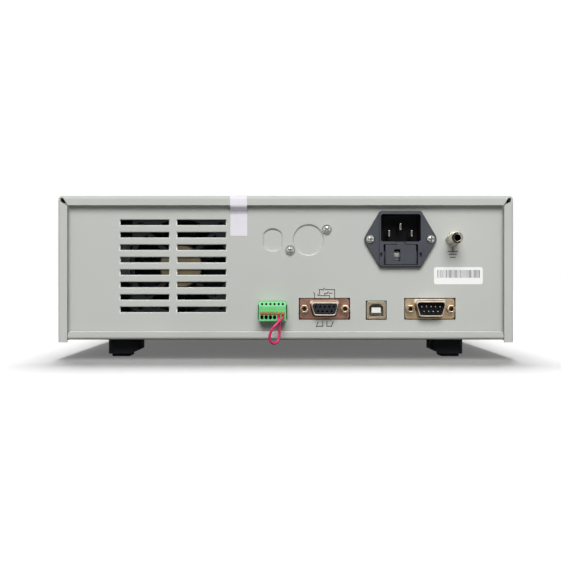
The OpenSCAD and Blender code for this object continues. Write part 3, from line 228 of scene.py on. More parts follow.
paint = powderCoat("powderCoatedSteel", gloss=(0.42, 0.54), sheen=0.3, peel=0.012)
edgePaint = powderCoat("powderCoatedEdge", gloss=(0.16, 0.24), sheen=0.7, peel=0.004)
bezelAbs = mouldedPlastic("mouldedAbsCharcoal", "#33363B", "#3A3D42")
slatePa = mouldedPlastic("mouldedPolyamideSlate", "#2A2F38", "#333840", grain=0.8)
blackPbt = mouldedPlastic("mouldedPbtBlack", "#101116", "#17181D")
# Black fan plastic; also painted shade on the panel's fan studs
fanPbtAndStudShade = mouldedPlastic("mouldedPbtDustyAndStudShade", "#08090C", "#0E0F12", gloss=(0.6, 0.75), sheen=0.15)
navyPbt = mouldedPlastic("mouldedPbtNavy", "#0A0B14", "#0F111B", gloss=(0.5, 0.62), sheen=0.3)
# Near-black polyamide: the serial insulator's own colour, and painted shade deep in the inlet's recess and in
# the signal block's holes
blackPaAndShade = mouldedPlastic("mouldedPolyamideBlackAndPaintedShade", "#090B10", "#0E1015", gloss=(0.6, 0.75), sheen=0.2)
footAbs = mouldedPlastic("mouldedAbsBlack", "#0A0C11", "#101217", gloss=(0.6, 0.72), sheen=0.3)
greenPa = mouldedPlastic("mouldedPolyamideGreen", "#5FC274", "#74CF86", grain=0.5, depth=0.012)
headerPa = mouldedPlastic("mouldedPolyamideDarkGreen", "#1F4A2C", "#285A37")
orangePa = mouldedPlastic("mouldedPolyamideOrange", "#D9481F", "#E4602F", grain=0.5, depth=0.01)
tonguePbt = mouldedPlastic("mouldedPbtWhite", "#ECECE8", "#F6F6F3", grain=0.5, depth=0.008)
keyGrey = glossPlastic("keycapGrey", "#C8C8C4", "#D2D2CE")
keyGreen = glossPlastic("keycapGreen", "#1E8A3C", "#249A46")
keyRed = glossPlastic("keycapRed", "#B51F1F", "#C42A28")
socketRed = glossPlastic("socketRed", "#A81616", "#B82020")
rubber = footRubber()
screwNickel = platedMetal("nickelPlatedSteel", "#C4C3BE", "#D3D2CD", gloss=(0.1, 0.16))
terminalNickel = platedMetal("nickelPlatedBrass", "#CFC9BB", "#DED9CC", gloss=(0.18, 0.28))
pinNickel = platedMetal("nickelPlatedPin", "#C9C5BC", "#D8D5CD", gloss=(0.1, 0.18))
# Dark brass painted into the ground socket's bore as the shade deep inside it
groundBoreShade = platedMetal("brassBorePaintedShade", "#2A251C", "#3A3327", gloss=(0.45, 0.6))
# Darker brown for the jackscrews' threaded bores
boreSteel = platedMetal("jackBoreDarkBrown", "#5C4733", "#6E5740", gloss=(0.4, 0.55))
shellBronze = platedMetal("chromatedSteelBrown", "#836055", "#9B796B", gloss=(0.3, 0.42))
shellTin = platedMetal("tinnedSteelWarm", "#A58F72", "#B6A285", gloss=(0.32, 0.44))
shellRimAndTopHighlight = platedMetal("tinnedSteelBrightAndPaintedHighlight", "#CFC6B4", "#DED7C8", gloss=(0.26, 0.36))
jackBrass = platedMetal("chromatedBrass", "#CBB99F", "#DACAB2", gloss=(0.34, 0.46))
shellUsb = platedMetal("nickelPlatedShell", "#9B8E78", "#AEA18C", gloss=(0.26, 0.38))
zinc = platedMetal("zincPlatedSheet", "#7C7E80", "#8C8E90", gloss=(0.42, 0.55))
# Black anodising and core varnish: dull coats that take the light as a grained moulding does
anodised = mouldedPlastic("anodisedAluminiumBlack", "#141517", "#1C1D20", gloss=(0.4, 0.5), grain=0.3,
                          depth=0.006)
coreIron = mouldedPlastic("varnishedLaminations", "#45464A", "#54555A", gloss=(0.4, 0.55), grain=0.5)
film = printedFilm("printedFilmBlack", "#191A1D", "#1E1F22")
inkWhite = printedFilm("screenInkWhite", "#D8D8D4", "#E2E2DE")
inkDark = printedFilm("screenInkGrey", "#26272B", "#34353A")
acrylic = tintedAcrylic()
board = solderMask()
labelWhite = labelPaper("labelPaperWhite", "#F5F5F4", "#FAFAF9")
sealFilm = labelPaper("sealFilmLilac", "#E0DDE5", "#E9E6ED")
# The fan's gold hub label, painted dark olive as the shade behind the grille
hubLabelShaded = labelPaper("hubLabelOliveInPaintedShade", "#423B23", "#5C4F33")
glass = fuseGlass()
pvc = wirePvc()
print("materials", len(bpy.data.materials))


# Making and seating pieces
def seat(piece, body, slot, *standsFor):
    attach(piece, body)
    if standsFor:
        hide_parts(*standsFor)
    return piece


def shadeByAngle(mesh, degrees):
    for face in mesh.polygons:
        face.use_smooth = True
    mesh.set_sharp_from_angle(angle=math.radians(degrees))


def newPiece(name, mesh, material, degrees=35):
    mesh.name = name
    if not mesh.materials:
        mesh.materials.append(material)
    shadeByAngle(mesh, degrees)
    piece = bpy.data.objects.new(name, mesh)
    scene.collection.objects.link(piece)
    return piece


# Broken edges, in mm and degrees; each group of pieces below names the widths of its own
edgeBreak = {
    "weld": 0.002,                      # points nearer than this become one
    "flat": 0.4,                        # faces this close to one plane become one
    "shares": (1, 0.7, 0.5, 0.25, 0),   # a width that folds a face over is tried again at the next share
    "smallest": 0.3,                    # square mm; folds in smaller faces don't show
    "slack": 0.005,                     # share of its size that a folded face misses
    "shading": 8,                       # edges sharper than the broken ones by this keep a hard line
}


# A face that a bevel has folded over itself no longer fills its own outline
def folded(shape):
    filled = {}
    for a, b, c in shape.calc_loop_triangles():
        size = (b.vert.co - a.vert.co).cross(c.vert.co - a.vert.co).length / 2
        filled[a.face] = filled.get(a.face, 0) + size
    large = {face: size for face, size in filled.items()
             if len(face.verts) > 4 and size > edgeBreak["smallest"] * mm * mm}
    return any(abs(size - face.calc_area()) > edgeBreak["slack"] * size for face, size in large.items())


def anywhere(at):
    return True


def brokenEdges(node, rounds, share, segments, degrees):
    shape = bmesh.new()
    shape.from_mesh(nodes[node].data)
    bmesh.ops.remove_doubles(shape, verts=shape.verts, dist=edgeBreak["weld"] * mm)
    bmesh.ops.dissolve_limit(shape, angle_limit=math.radians(edgeBreak["flat"]), verts=shape.verts,
                             edges=shape.edges)
    for width, chosen in rounds if share else []:
        sharp = [e for e in shape.edges if e.is_manifold and e.calc_face_angle() > math.radians(degrees)
                 and all(chosen(v.co / mm) for v in e.verts)]
        bmesh.ops.bevel(shape, geom=sharp, offset=width * share * mm, segments=segments, profile=0.5,
                        affect="EDGES", clamp_overlap=False, loop_slide=False)
    return shape


# A CAD node with its sharp edges broken, as paint, moulding or tumbling leaves them;
# each round is a width and a test for the edges that take it
def dressed(node, material, *rounds, segments=2, degrees=32):
    for share in edgeBreak["shares"]:
        shape = brokenEdges(node, rounds, share, segments, degrees)
        if not share or not folded(shape):
            break
        shape.free()
    if share < 1:
        print(node, "edges narrowed to", share)
    mesh = bpy.data.meshes.new("dressed_" + node)
    shape.to_mesh(mesh)
    shape.free()
    piece = newPiece("dressed_" + node, mesh, material, degrees + edgeBreak["shading"])
    flat = piece.modifiers.new("flatFaces", "WEIGHTED_NORMAL")
    flat.keep_sharp = True
    return seat(piece, bodyOf[node], slotOf[node], node)


# Faces whose middle, in mm, passes a test take a second material
def parted(piece, material, test):
    piece.data.materials.append(material)
    last = len(piece.data.materials) - 1
    for face in piece.data.polygons:
        if test(face.center / mm):
            face.material_index = last


def coated(node, material):
    nodes[node].data.materials.clear()
    nodes[node].data.materials.append(material)


# Flat outlines drawn sideways and up in mm, raised towards +Y or -Y
def raised(name, outlines, y, lift, material, body, slot):
    shape = bmesh.new()
    for outline in outlines:
        corners = [shape.verts.new(Vector((x, y, z)) * mm) for x, z in outline]
        base = shape.faces.new(corners)
        made = bmesh.ops.extrude_face_region(shape, geom=[base])
        moved = [v for v in made["geom"] if isinstance(v, bmesh.types.BMVert)]
        bmesh.ops.translate(shape, verts=moved, vec=Vector((0, lift, 0)) * mm)
    bmesh.ops.recalc_face_normals(shape, faces=shape.faces)
    mesh = bpy.data.meshes.new(name)
    shape.to_mesh(mesh)
    shape.free()
    return seat(newPiece(name, mesh, material), body, slot)


def stroke(start, end, width):
    along = (Vector(end) - Vector(start)).normalized()
    aside = Vector((-along.y, along.x)) * width / 2
    along = along * width / 2
    a, b = Vector(start) - along, Vector(end) + along
    return [tuple(a + aside), tuple(a - aside), tuple(b - aside), tuple(b + aside)]


def roundedOutline(x0, x1, z0, z1, r, steps=6):
    turns = [(x1 - r, z1 - r, 0), (x0 + r, z1 - r, 90), (x0 + r, z0 + r, 180), (x1 - r, z0 + r, 270)]
    rays = [(x, z, math.radians(a + 90 * i / steps)) for x, z, a in turns for i in range(steps + 1)]
    return [(x + r * math.cos(a), z + r * math.sin(a)) for x, z, a in rays]


def middle(node):
    low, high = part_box(node)
    return (low + high) / 2 / mm


# Geometry node trees: an object of points goes in, one plain mesh comes out
def newTree(name, inputs):
    tree = bpy.data.node_groups.new(name, "GeometryNodeTree")
    tree.interface.new_socket("Geometry", in_out="INPUT", socket_type="NodeSocketGeometry")
    for label, kind in inputs.items():
        tree.interface.new_socket(label, in_out="INPUT", socket_type="NodeSocket" + kind)
    tree.interface.new_socket("Geometry", in_out="OUTPUT", socket_type="NodeSocketGeometry")
    return tree, addNode(tree, "NodeGroupInput").outputs


def closeTree(tree, geometry, material):
    whole = addNode(tree, "GeometryNodeRealizeInstances", {}, {"Geometry": geometry})
    made = addNode(tree, "GeometryNodeSetMaterial", {"Material": material},
                   {"Geometry": whole.outputs["Geometry"]})
    addNode(tree, "NodeGroupOutput", {}, {"Geometry": made.outputs["Geometry"]})


# The turn that brings +Z to each point's own facing
def facingTurn(tree):
    way = addNode(tree, "GeometryNodeInputNamedAttribute", {"data_type": "FLOAT_VECTOR", "Name": "facing"})
    turn = addNode(tree, "FunctionNodeAlignRotationToVector", {"axis": "Z"},
                   {"Vector": way.outputs["Attribute"]})
    return turn.outputs["Rotation"]


def growPiece(name, tree, points, facing, values, material):
    seed = bpy.data.meshes.new(name + "Points")
    seed.from_pydata([Vector(p) * mm for p in points], [], [])
    way = seed.attributes.new("facing", "FLOAT_VECTOR", "POINT")
    way.data.foreach_set("vector", [c for f in facing for c in f])
    source = bpy.data.objects.new(name + "Points", seed)
    scene.collection.objects.link(source)
    grower = source.modifiers.new("grow", "NODES")
    grower.node_group = tree
    for socket in tree.interface.items_tree:
        if socket.in_out == "INPUT" and socket.name in values:
            grower[socket.identifier] = values[socket.name]
    mesh = bpy.data.meshes.new_from_object(source.evaluated_get(bpy.context.evaluated_depsgraph_get()))
    bpy.data.objects.remove(source)
    mesh.materials[0] = material    # one tree may serve pieces of several colours
    return newPiece(name, mesh, material, degrees=30)


# Jumper wire: one strand from the fifth terminal to the sixth, in mm from the wire mouths
jumper = {
    "radius": 0.8,
    "steps": 8,         # from knot to knot
    "sides": 5,         # roundness of the strand
    "drop": 2.4,        # wire mouths below the release buttons
    "ends": (1.5, 4.1),     # sets the ends of the route at the two mouths
    "route": [
        (-1.5, -4.5, 0), (-1.5, 0, 0), (-1.5, 2.2, -0.5), (-1.7, 3.6, -2.4), (-1.95, 3.8, -5),
        (-2, 3.6, -8.4), (-1.75, 3.6, -11.6), (-0.9, 4.2, -14.3), (1.1, 5.65, -15.5), (3.1, 7.1, -14.3),
        (3.9, 7.7, -11.6), (3.1, 8.2, -8.3), (1.3, 8.2, -5.4), (-0.9, 7.5, -3.1), (-2.9, 6, -1.4),
        (-4, 3.6, -0.3), (-4.1, 1.8, 0), (-4.1, 0, 0), (-4.1, -4.5, 0),
    ],
}


def addJumper():
    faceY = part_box("signal_plug")[1].y / mm
    first = middle("release_button_5").x + jumper["ends"][0]
    last = middle("release_button_6").x + jumper["ends"][1]
    mouthZ = middle("release_button_5").z - jumper["drop"]
    count = len(jumper["route"]) - 1
    route = [Vector((first + (last - first) * i / count + x, faceY + y, mouthZ + z)) * mm
             for i, (x, y, z) in enumerate(jumper["route"])]
    line = bpy.data.curves.new("jumper_wire_pvc", "CURVE")
    line.dimensions = "3D"
    line.resolution_u = jumper["steps"]
    line.bevel_depth = jumper["radius"] * mm
    line.bevel_resolution = jumper["sides"]
    line.use_fill_caps = True
    strand = line.splines.new("BEZIER")
    strand.bezier_points.add(count)
    for knot, point in zip(strand.bezier_points, route):
        knot.co = point
        knot.handle_left_type = "AUTO"
        knot.handle_right_type = "AUTO"
    line.materials.append(pvc)
    piece = bpy.data.objects.new("jumper_wire_pvc", line)
    scene.collection.objects.link(piece)
    seat(piece, "signal_plug", slotOf["jumper_wire"], "jumper_wire")


addJumper()


# Folded case: cover, pan, connector panel and its blanking plate
case = {
    "cover": 0.3, "pan": 0.45, "slot": 0.6, "hole": 0.95,
    "lip": (6, 4.5, 6.3),           # depth behind the flange, heights of its corners and of its top edge
    "studs": (120, 25, 90, 2),      # bounds of the fan's studs: sideways, low, high, depth behind the panel
    "vents": 33,                    # the slots lie beyond this, sideways
    "blanked": (-29, 16, 60, 86),   # bounds of the two blanked holes, sideways, low and high
    "blankScrews": [(-25.4, 79.7), (-2.8, 66.9)],
    "screwHole": 2,
}


def nearBlanked(at):
    left, right, low, high = case["blanked"]
    return left < at.x < right and low < at.z < high


def onSlot(at):
    return abs(at.y - panelY) < touch and case["vents"] < at.x < case["studs"][0]


def onBlankedHole(at):
    screws = [math.hypot(at.x - x, at.z - z) for x, z in case["blankScrews"]]
    return abs(at.y - panelY) < touch and nearBlanked(at) and min(screws) > case["screwHole"]


def onRearLip(at):
    return at.y > flangeY - case["lip"][0] and at.z > caseZ + case["lip"][1]


def onPunchedEdge(at):
    return panelY - case["hole"] < at.y < panelY - touch and (nearBlanked(at) or at.x > case["vents"])


def onLipEdge(at):
    return onRearLip(at) and at.z > caseZ + case["lip"][2]


def onShadedFanStud(at):
    side, low, high, depth = case["studs"]
    return at.y < panelY - depth and abs(at.x) < side and low < at.z < high


dressed("top_cover", paint, (case["cover"], anywhere))
parted(dressed("bottom_pan", paint, (case["pan"], onRearLip), segments=3), edgePaint, onLipEdge)
panel = dressed("rear_panel", paint, (case["slot"], onSlot), (case["hole"], onBlankedHole), segments=3)
parted(panel, edgePaint, onPunchedEdge)
# the fan's studs, painted steel in life, take the fan's black as painted shade inside the case
parted(panel, fanPbtAndStudShade, onShadedFanStud)
coated("blanking_plate", paint)
print("case dressed")


roundSides = {"head": 40, "shank": 24, "washer": 48}    # of screws and washers


# Screws: pan heads on the panel and in the feet, countersunk heads in the cover
def screwTree():
    sizes = ("Head Radius", "Foot Radius", "Head Height", "Crown Radius", "Shank Radius", "Shank Length",
             "Recess Width", "Recess Blade", "Recess Depth")
    tree, given = newTree("crossRecessScrews", {**{size: "Float" for size in sizes}, "Seed": "Int"})
    crownZ = addNode(tree, "ShaderNodeMath", {"operation": "SUBTRACT"},
                     {0: given["Head Height"], 1: given["Crown Radius"]})
    crownAt = addNode(tree, "ShaderNodeCombineXYZ", {}, {"Z": crownZ.outputs[0]})
    crown = addNode(tree, "GeometryNodeMeshUVSphere",
                    {"Segments": roundSides["head"], "Rings": roundSides["head"]},
                    {"Radius": given["Crown Radius"]})
    crownUp = addNode(tree, "GeometryNodeTransform", {},
                      {"Geometry": crown.outputs["Mesh"], "Translation": crownAt.outputs["Vector"]})
    wall = addNode(tree, "GeometryNodeMeshCone", {"Vertices": roundSides["head"]},
                   {"Radius Top": given["Head Radius"], "Radius Bottom": given["Foot Radius"],
                    "Depth": given["Head Height"]})
    head = addNode(tree, "GeometryNodeMeshBoolean", {"operation": "INTERSECT", "solver": "EXACT"},
                   {"Mesh 2": crownUp.outputs["Geometry"]})
    tree.links.new(wall.outputs["Mesh"], head.inputs["Mesh 2"])
    bladeSize = addNode(tree, "ShaderNodeCombineXYZ", {},
                        {"X": given["Recess Width"], "Y": given["Recess Blade"], "Z": given["Recess Depth"]})
    blade = addNode(tree, "GeometryNodeMeshCube", {}, {"Size": bladeSize.outputs["Vector"]})
    bladeAt = addNode(tree, "ShaderNodeCombineXYZ", {}, {"Z": given["Head Height"]})
    across = addNode(tree, "GeometryNodeTransform", {},
                     {"Geometry": blade.outputs["Mesh"], "Translation": bladeAt.outputs["Vector"]})
    upright = addNode(tree, "GeometryNodeTransform", {"Rotation": (0, 0, math.pi / 2)},
                      {"Geometry": across.outputs["Geometry"]})
    cut = addNode(tree, "GeometryNodeMeshBoolean", {"operation": "DIFFERENCE", "solver": "EXACT"},
                  {"Mesh 1": head.outputs["Mesh"], "Mesh 2": across.outputs["Geometry"]})
    tree.links.new(upright.outputs["Geometry"], cut.inputs["Mesh 2"])
    shank = addNode(tree, "GeometryNodeMeshCylinder", {"Vertices": roundSides["shank"]},
                    {"Radius": given["Shank Radius"], "Depth": given["Shank Length"]})
    shankZ = addNode(tree, "ShaderNodeMath", {"operation": "MULTIPLY", 1: -0.5}, {0: given["Shank Length"]})
    shankAt = addNode(tree, "ShaderNodeCombineXYZ", {}, {"Z": shankZ.outputs[0]})
    shankDown = addNode(tree, "GeometryNodeTransform", {},
                        {"Geometry": shank.outputs["Mesh"], "Translation": shankAt.outputs["Vector"]})
    screw = addNode(tree, "GeometryNodeJoinGeometry", {}, {"Geometry": cut.outputs["Mesh"]})
    tree.links.new(shankDown.outputs["Geometry"], screw.inputs["Geometry"])
    spin = addNode(tree, "FunctionNodeRandomValue", {"data_type": "FLOAT", 3: math.pi},
                   {"Seed": given["Seed"]})
    spinAt = addNode(tree, "FunctionNodeAxisAngleToRotation", {"Axis": (0, 0, 1)}, {"Angle": spin.outputs[1]})
    spun = addNode(tree, "FunctionNodeRotateRotation", {"rotation_space": "LOCAL"},
                   {"Rotation": facingTurn(tree), "Rotate By": spinAt.outputs["Rotation"]})
    placed = addNode(tree, "GeometryNodeInstanceOnPoints", {},
                     {"Points": given["Geometry"], "Instance": screw.outputs["Geometry"],
                      "Rotation": spun.outputs["Rotation"]})
    closeTree(tree, placed.outputs["Instances"], screwNickel)
    return tree


# Flat washers: a rectangle swept round a circle
def washerTree():
    sizes = ("Ring Radius", "Ring Width", "Thickness")
    tree, given = newTree("flatWashers", {size: "Float" for size in sizes})
    ring = addNode(tree, "GeometryNodeCurvePrimitiveCircle", {"Resolution": roundSides["washer"]},
                   {"Radius": given["Ring Radius"]})
    cut = addNode(tree, "GeometryNodeCurvePrimitiveQuadrilateral", {},
                  {"Width": given["Ring Width"], "Height": given["Thickness"]})
    washer = addNode(tree, "GeometryNodeCurveToMesh", {},
                     {"Curve": ring.outputs["Curve"], "Profile Curve": cut.outputs["Curve"]})
    placed = addNode(tree, "GeometryNodeInstanceOnPoints", {},
                     {"Points": given["Geometry"], "Instance": washer.outputs["Mesh"],
                      "Rotation": facingTurn(tree)})
    closeTree(tree, placed.outputs["Instances"], zinc)
    return tree


panelScrews = {
    "inlet": [(-89.35, 73.5), (-52.25, 73.5)],
    "inletLift": 2.6,                           # thickness of the inlet flange
    "washer": {"Ring Radius": 2.35 * mm, "Ring Width": 1.4 * mm, "Thickness": 0.5 * mm},
    "washerLift": 0.5,
    "size": {"Head Radius": 2.7 * mm, "Foot Radius": 2.7 * mm, "Head Height": 1.9 * mm,
             "Crown Radius": 3.1 * mm, "Shank Radius": 1.45 * mm, "Shank Length": 4.4 * mm,
             "Recess Width": 3.3 * mm, "Recess Blade": 0.85 * mm, "Recess Depth": 2.2 * mm, "Seed": 5},
    # round heads of the blanking plate
    "tall": {"Head Radius": 2.9 * mm, "Head Height": 2.4 * mm, "Foot Radius": 2.9 * mm,
             "Recess Width": 2.9 * mm, "Recess Blade": 0.7 * mm, "Seed": 2},
}
caseScrews = {
    "sides": 138.8,                             # inner face of the cover's walls
    "along": (-121.3, 10.55, 142.4),
    "height": 19.6,
    "feet": [(x, y, 12.8) for x in (-102, 102) for y in (156.4, -124.3)],
    "size": {"Head Radius": 2.9 * mm, "Foot Radius": 1.55 * mm, "Head Height": 1.18 * mm,
             "Crown Radius": 60 * mm, "Shank Radius": 1.45 * mm, "Shank Length": 5.8 * mm,
             "Recess Width": 3.1 * mm, "Recess Blade": 0.8 * mm, "Recess Depth": 1.7 * mm, "Seed": 9},
}


def growScrews(name, tree, points, facing, size, metal, node, *standsFor):
    piece = growPiece(name, tree, points, facing, size, metal)
    seat(piece, "case", slotOf[node], *standsFor)


def addScrews():
    tree = screwTree()
    lift = panelScrews["washerLift"]
    points = [(x, panelY + panelScrews["inletLift"], z) for x, z in panelScrews["inlet"]]
    outward = [(0, 1, 0)] * len(points)
    growScrews("inlet_screw_heads", tree, points, outward, panelScrews["size"], screwNickel, "panel_screws")
    points = [(x, panelY + lift, z) for x, z in case["blankScrews"]]
    outward = [(0, 1, 0)] * len(points)
    tall = {**panelScrews["size"], **panelScrews["tall"]}
    growScrews("blank_screw_heads", tree, points, outward, tall, screwNickel, "panel_screws", "panel_screws")
    points = [(x, panelY + lift / 2, z) for x, z in case["blankScrews"]]
    growScrews("panel_screw_washers", washerTree(), points, outward, panelScrews["washer"], zinc,
               "panel_screws")
    rows = [(side, y) for side in (-1, 1) for y in caseScrews["along"]]
    points = [(side * caseScrews["sides"], y, caseScrews["height"]) for side, y in rows]
    outward = [(side, 0, 0) for side, y in rows]
    growScrews("cover_screw_heads", tree, points, outward, caseScrews["size"], screwNickel, "case_screws",
               "case_screws")
    points = caseScrews["feet"]
    upward = [(0, 0, 1)] * len(points)
    growScrews("foot_screw_heads", tree, points, upward, panelScrews["size"], screwNickel, "case_screws")


addScrews()
print("screws")


# Feet, pads and tilt legs
feet = {"foot": 0.5, "pad": 0.4, "leg": 0.4}
dressed("feet", footAbs, (feet["foot"], anywhere), segments=3)
dressed("foot_pads", rubber, (feet["pad"], anywhere), segments=3)
for side in ("left", "right"):
    dressed("tilt_leg_" + side, footAbs, (feet["leg"], anywhere), segments=3)
print("feet")


# Fan behind the grille, with the paper label on its hub
fan = {"label": 12.6, "sides": 64, "thick": 0.12, "frame": 0.3, "blade": 0.25,
       "hubDepth": 0.5}     # hub behind the outer face of the frame
dressed("fan_frame", fanPbtAndStudShade, (fan["frame"], anywhere))
dressed("fan_rotor", fanPbtAndStudShade, (fan["blade"], anywhere))
coated("fan_nuts", fanPbtAndStudShade)


def addHubLabel():
    hub = middle("fan_rotor")
    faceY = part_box("fan_frame")[1].y / mm - fan["hubDepth"]
    ring = [(hub.x + fan["label"] * math.cos(a), hub.z + fan["label"] * math.sin(a))
            for a in [math.tau * i / fan["sides"] for i in range(fan["sides"])]]
    raised("fan_hub_label", [ring], faceY, fan["thick"], hubLabelShaded, "case", slotOf["fan_frame"])


addHubLabel()
print("fan")


# Mains inlet with its fuse drawer
inlet = {"body": 0.35, "pin": 0.25, "drawer": 0.25, "fuse": 0.12, "cap": 5.5,
         "recess": (12.3, 8.5, 6.9),        # half width, half height, rise above the middle of the inlet
         "shade": 2,                        # the recess is dark from this depth on
         "front": 1, "plate": 3}            # edges further out of the panel are rounded: body, drawer
inletAt = middle("inlet_body")
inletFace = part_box("inlet_body")[1].y / mm
fuseEnds = [corner.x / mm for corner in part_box("fuses")]


def onInletFront(at):
    return at.y > panelY + inlet["front"]


def onDrawerFace(at):
    return at.y > panelY + inlet["plate"]


def inShadedRecess(at):
    wide, tall, rise = inlet["recess"]
    aside, above = abs(at.x - inletAt.x), abs(at.z - inletAt.z - rise)
    return aside < wide and above < tall and at.y < inletFace - inlet["shade"]


def onFuseCap(at):
    return min(abs(at.x - end) for end in fuseEnds) < inlet["cap"] + touch


body = dressed("inlet_body", slatePa, (inlet["body"], onInletFront), segments=3, degrees=25)
# the inlet's recess is painted near-black as shade from a set depth on
parted(body, blackPaAndShade, inShadedRecess)
dressed("inlet_pins", pinNickel, (inlet["pin"], anywhere))
dressed("fuse_drawer", slatePa, (inlet["drawer"], onDrawerFace), segments=3, degrees=25)
parted(dressed("fuses", glass, (inlet["fuse"], anywhere)), screwNickel, onFuseCap)
print("inlet")


# Ground terminal, signal block and data connectors
connectors = {
    "terminal": 0.3, "block": 0.15, "lever": 0.15, "shell": 0.22, "insulator": 0.1, "screw": 0.4, "pin": 0.08,
    "ways": range(1, 7),            # of the signal block
    "drawn": (4.6, 5.9, 3),         # brighter: the shell's straight part as drawn metal, and, as a painted highlight from the light above, its root above this height
    "bores": (2.05, 1.36),          # ground socket and jackscrew, radius
    "jackPitch": 24.99,
    # holes of the block: half width, half height, place above the buttons, depth from which they are painted
    # dark as shade
    "wireMouth": (1, 1.25, -2.4, 0.3),
    "release": (1.2, 0.7, 0, 0.3),
    "probe": (0.75, 0.75, 5.6, 3.5),
}
postAt = middle("ground_terminal")
shellsAt = [middle("handler_shell"), middle("serial_shell")]
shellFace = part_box("handler_shell")[1].y / mm
buttonsAt = [middle(f"release_button_{way}") for way in connectors["ways"]]
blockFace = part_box("signal_plug")[1].y / mm
blockHoles = [connectors[hole] for hole in ("wireMouth", "release", "probe")]


def inShadedGroundBore(at):
    return math.hypot(at.x - postAt.x, at.z - postAt.z) < connectors["bores"][0] and at.y > panelY


def inJackBore(at):
    near = min(shellsAt, key=lambda shell: abs(at.x - shell.x))
    aside = abs(at.x - near.x) - connectors["jackPitch"] / 2
    return math.hypot(aside, at.z - near.z) < connectors["bores"][1]


def inShadedBlockHole(at):
    return at.y > panelY and any(
        abs(at.x - button.x) < wide and abs(at.z - button.z - up) < tall and at.y < blockFace - deep
        for button in buttonsAt for wide, tall, up, deep in blockHoles)


def onDrawnShellAndLitRoot(at):
    straight, root, rise = connectors["drawn"]
    return at.y > shellFace - straight or (at.y > shellFace - root and at.z > shellsAt[0].z + rise)


post = dressed("ground_terminal", terminalNickel, (connectors["terminal"], anywhere), segments=3)
# the socket's bore is painted dark as shade
parted(post, groundBoreShade, inShadedGroundBore)
dressed("ground_nut", terminalNickel, (connectors["terminal"], anywhere))
dressed("signal_header", headerPa, (connectors["insulator"], anywhere))
# the block's holes are painted near-black as shade past a set depth
parted(dressed("signal_plug", greenPa, (connectors["block"], anywhere)), blackPaAndShade, inShadedBlockHole)
for way in connectors["ways"]:
    dressed(f"release_button_{way}", orangePa, (connectors["lever"], anywhere))
for node, coat in (("handler_shell", shellBronze), ("serial_shell", shellTin)):
    shell = dressed(node, coat, (connectors["shell"], anywhere), segments=3, degrees=25)
    # the straight part is brighter drawn metal; the top of the root is a painted highlight from the light
    # above
    parted(shell, shellRimAndTopHighlight, onDrawnShellAndLitRoot)
dressed("handler_insulator", navyPbt, (connectors["insulator"], anywhere), degrees=25)
dressed("serial_insulator", blackPaAndShade, (connectors["insulator"], anywhere), degrees=25)
dressed("serial_pins", terminalNickel, (connectors["pin"], anywhere))
parted(dressed("jackscrews", jackBrass, (connectors["screw"], anywhere)), boreSteel, inJackBore)
dressed("usb_shell", shellUsb, (connectors["shell"], anywhere), segments=3)
dressed("usb_tongue", tonguePbt, (connectors["insulator"], anywhere))
print("connectors")


# Labels and printing on the connector panel; places in mm, heights from the lower edge of the case
rearPrint = {
    "paper": 0.12,
    "ink": 0.05,
    "line": 0.55,
    "contactLine": 0.5,
    "serial": (-121.9, -91.7, 35.6, 46.3, 1.4),     # left, right, low, high, corner
    "earthAt": -103.4,
    "earthBars": [(56, 6), (54.2, 4.4), (52.3, 2.9)],
    "earthStem": (56, 58.4),
    "contactsAt": "handler_shell",
    "bars": {"Count": 34, "Pitch": 0.78 * mm, "Height": 4.8 * mm, "Thickness": 0.1 * mm, "Narrow": 0.16 * mm,
             "Wide": 0.44 * mm, "Seed": 3},
    "barsFrom": (2.1, 6.5),     # from the label's right-hand and lower edges to the first bar's middle
}
# Plain contact lines beside the handler connector: to the right of its middle, and up
contactLines = [
    [(-6.04, 27.4), (-6.04, 29.5), (-6.73, 30.65)],
    [(-4.02, 29.5), (-4.02, 28.6), (3.11, 28.6), (3.11, 27.4)],
    [(-3.07, 29.5), (-3.07, 32.4), (-1.31, 32.4)],
    [(-1.05, 32), (-0.04, 33.2)],
    [(0.4, 32.4), (6.26, 32.4), (6.26, 27.4)],
    [(0.21, 28.6), (0.21, 30.1), (1.22, 30.1)],
    [(1.47, 29.9), (2.35, 30.9)],
    [(2.86, 30.1), (4.62, 30.1)],
    [(-5.1, 9.2), (-4, 12.4)],
    [(-4.8, 9.7), (-1.05, 9.7), (-1.05, 12.7)],
    [(1.5, 12.7), (1.5, 9.7), (3.9, 9.7)],
    [(4.2, 9.5), (5.4, 12.4)],
]


def addRearPrint():
    left, right, low, high, corner = rearPrint["serial"]
    raised("serial_label_blank", [roundedOutline(left, right, caseZ + low, caseZ + high, corner)], panelY,
           rearPrint["paper"], labelWhite, "case", slotOf["rear_panel"])
    at = rearPrint["earthAt"]
    marks = [stroke((at - w / 2, caseZ + h), (at + w / 2, caseZ + h), rearPrint["line"])
             for h, w in rearPrint["earthBars"]]
    marks.append(stroke(*[(at, caseZ + h) for h in rearPrint["earthStem"]], rearPrint["line"]))
    raised("earth_mark", marks, panelY, rearPrint["ink"], inkDark, "case", slotOf["rear_panel"])
    at = middle(rearPrint["contactsAt"]).x
    lines = [stroke((at - a[0], caseZ + a[1]), (at - b[0], caseZ + b[1]), rearPrint["contactLine"])
             for line in contactLines for a, b in zip(line, line[1:])]
    raised("contact_lines", lines, panelY, rearPrint["ink"], inkDark, "case", slotOf["rear_panel"])


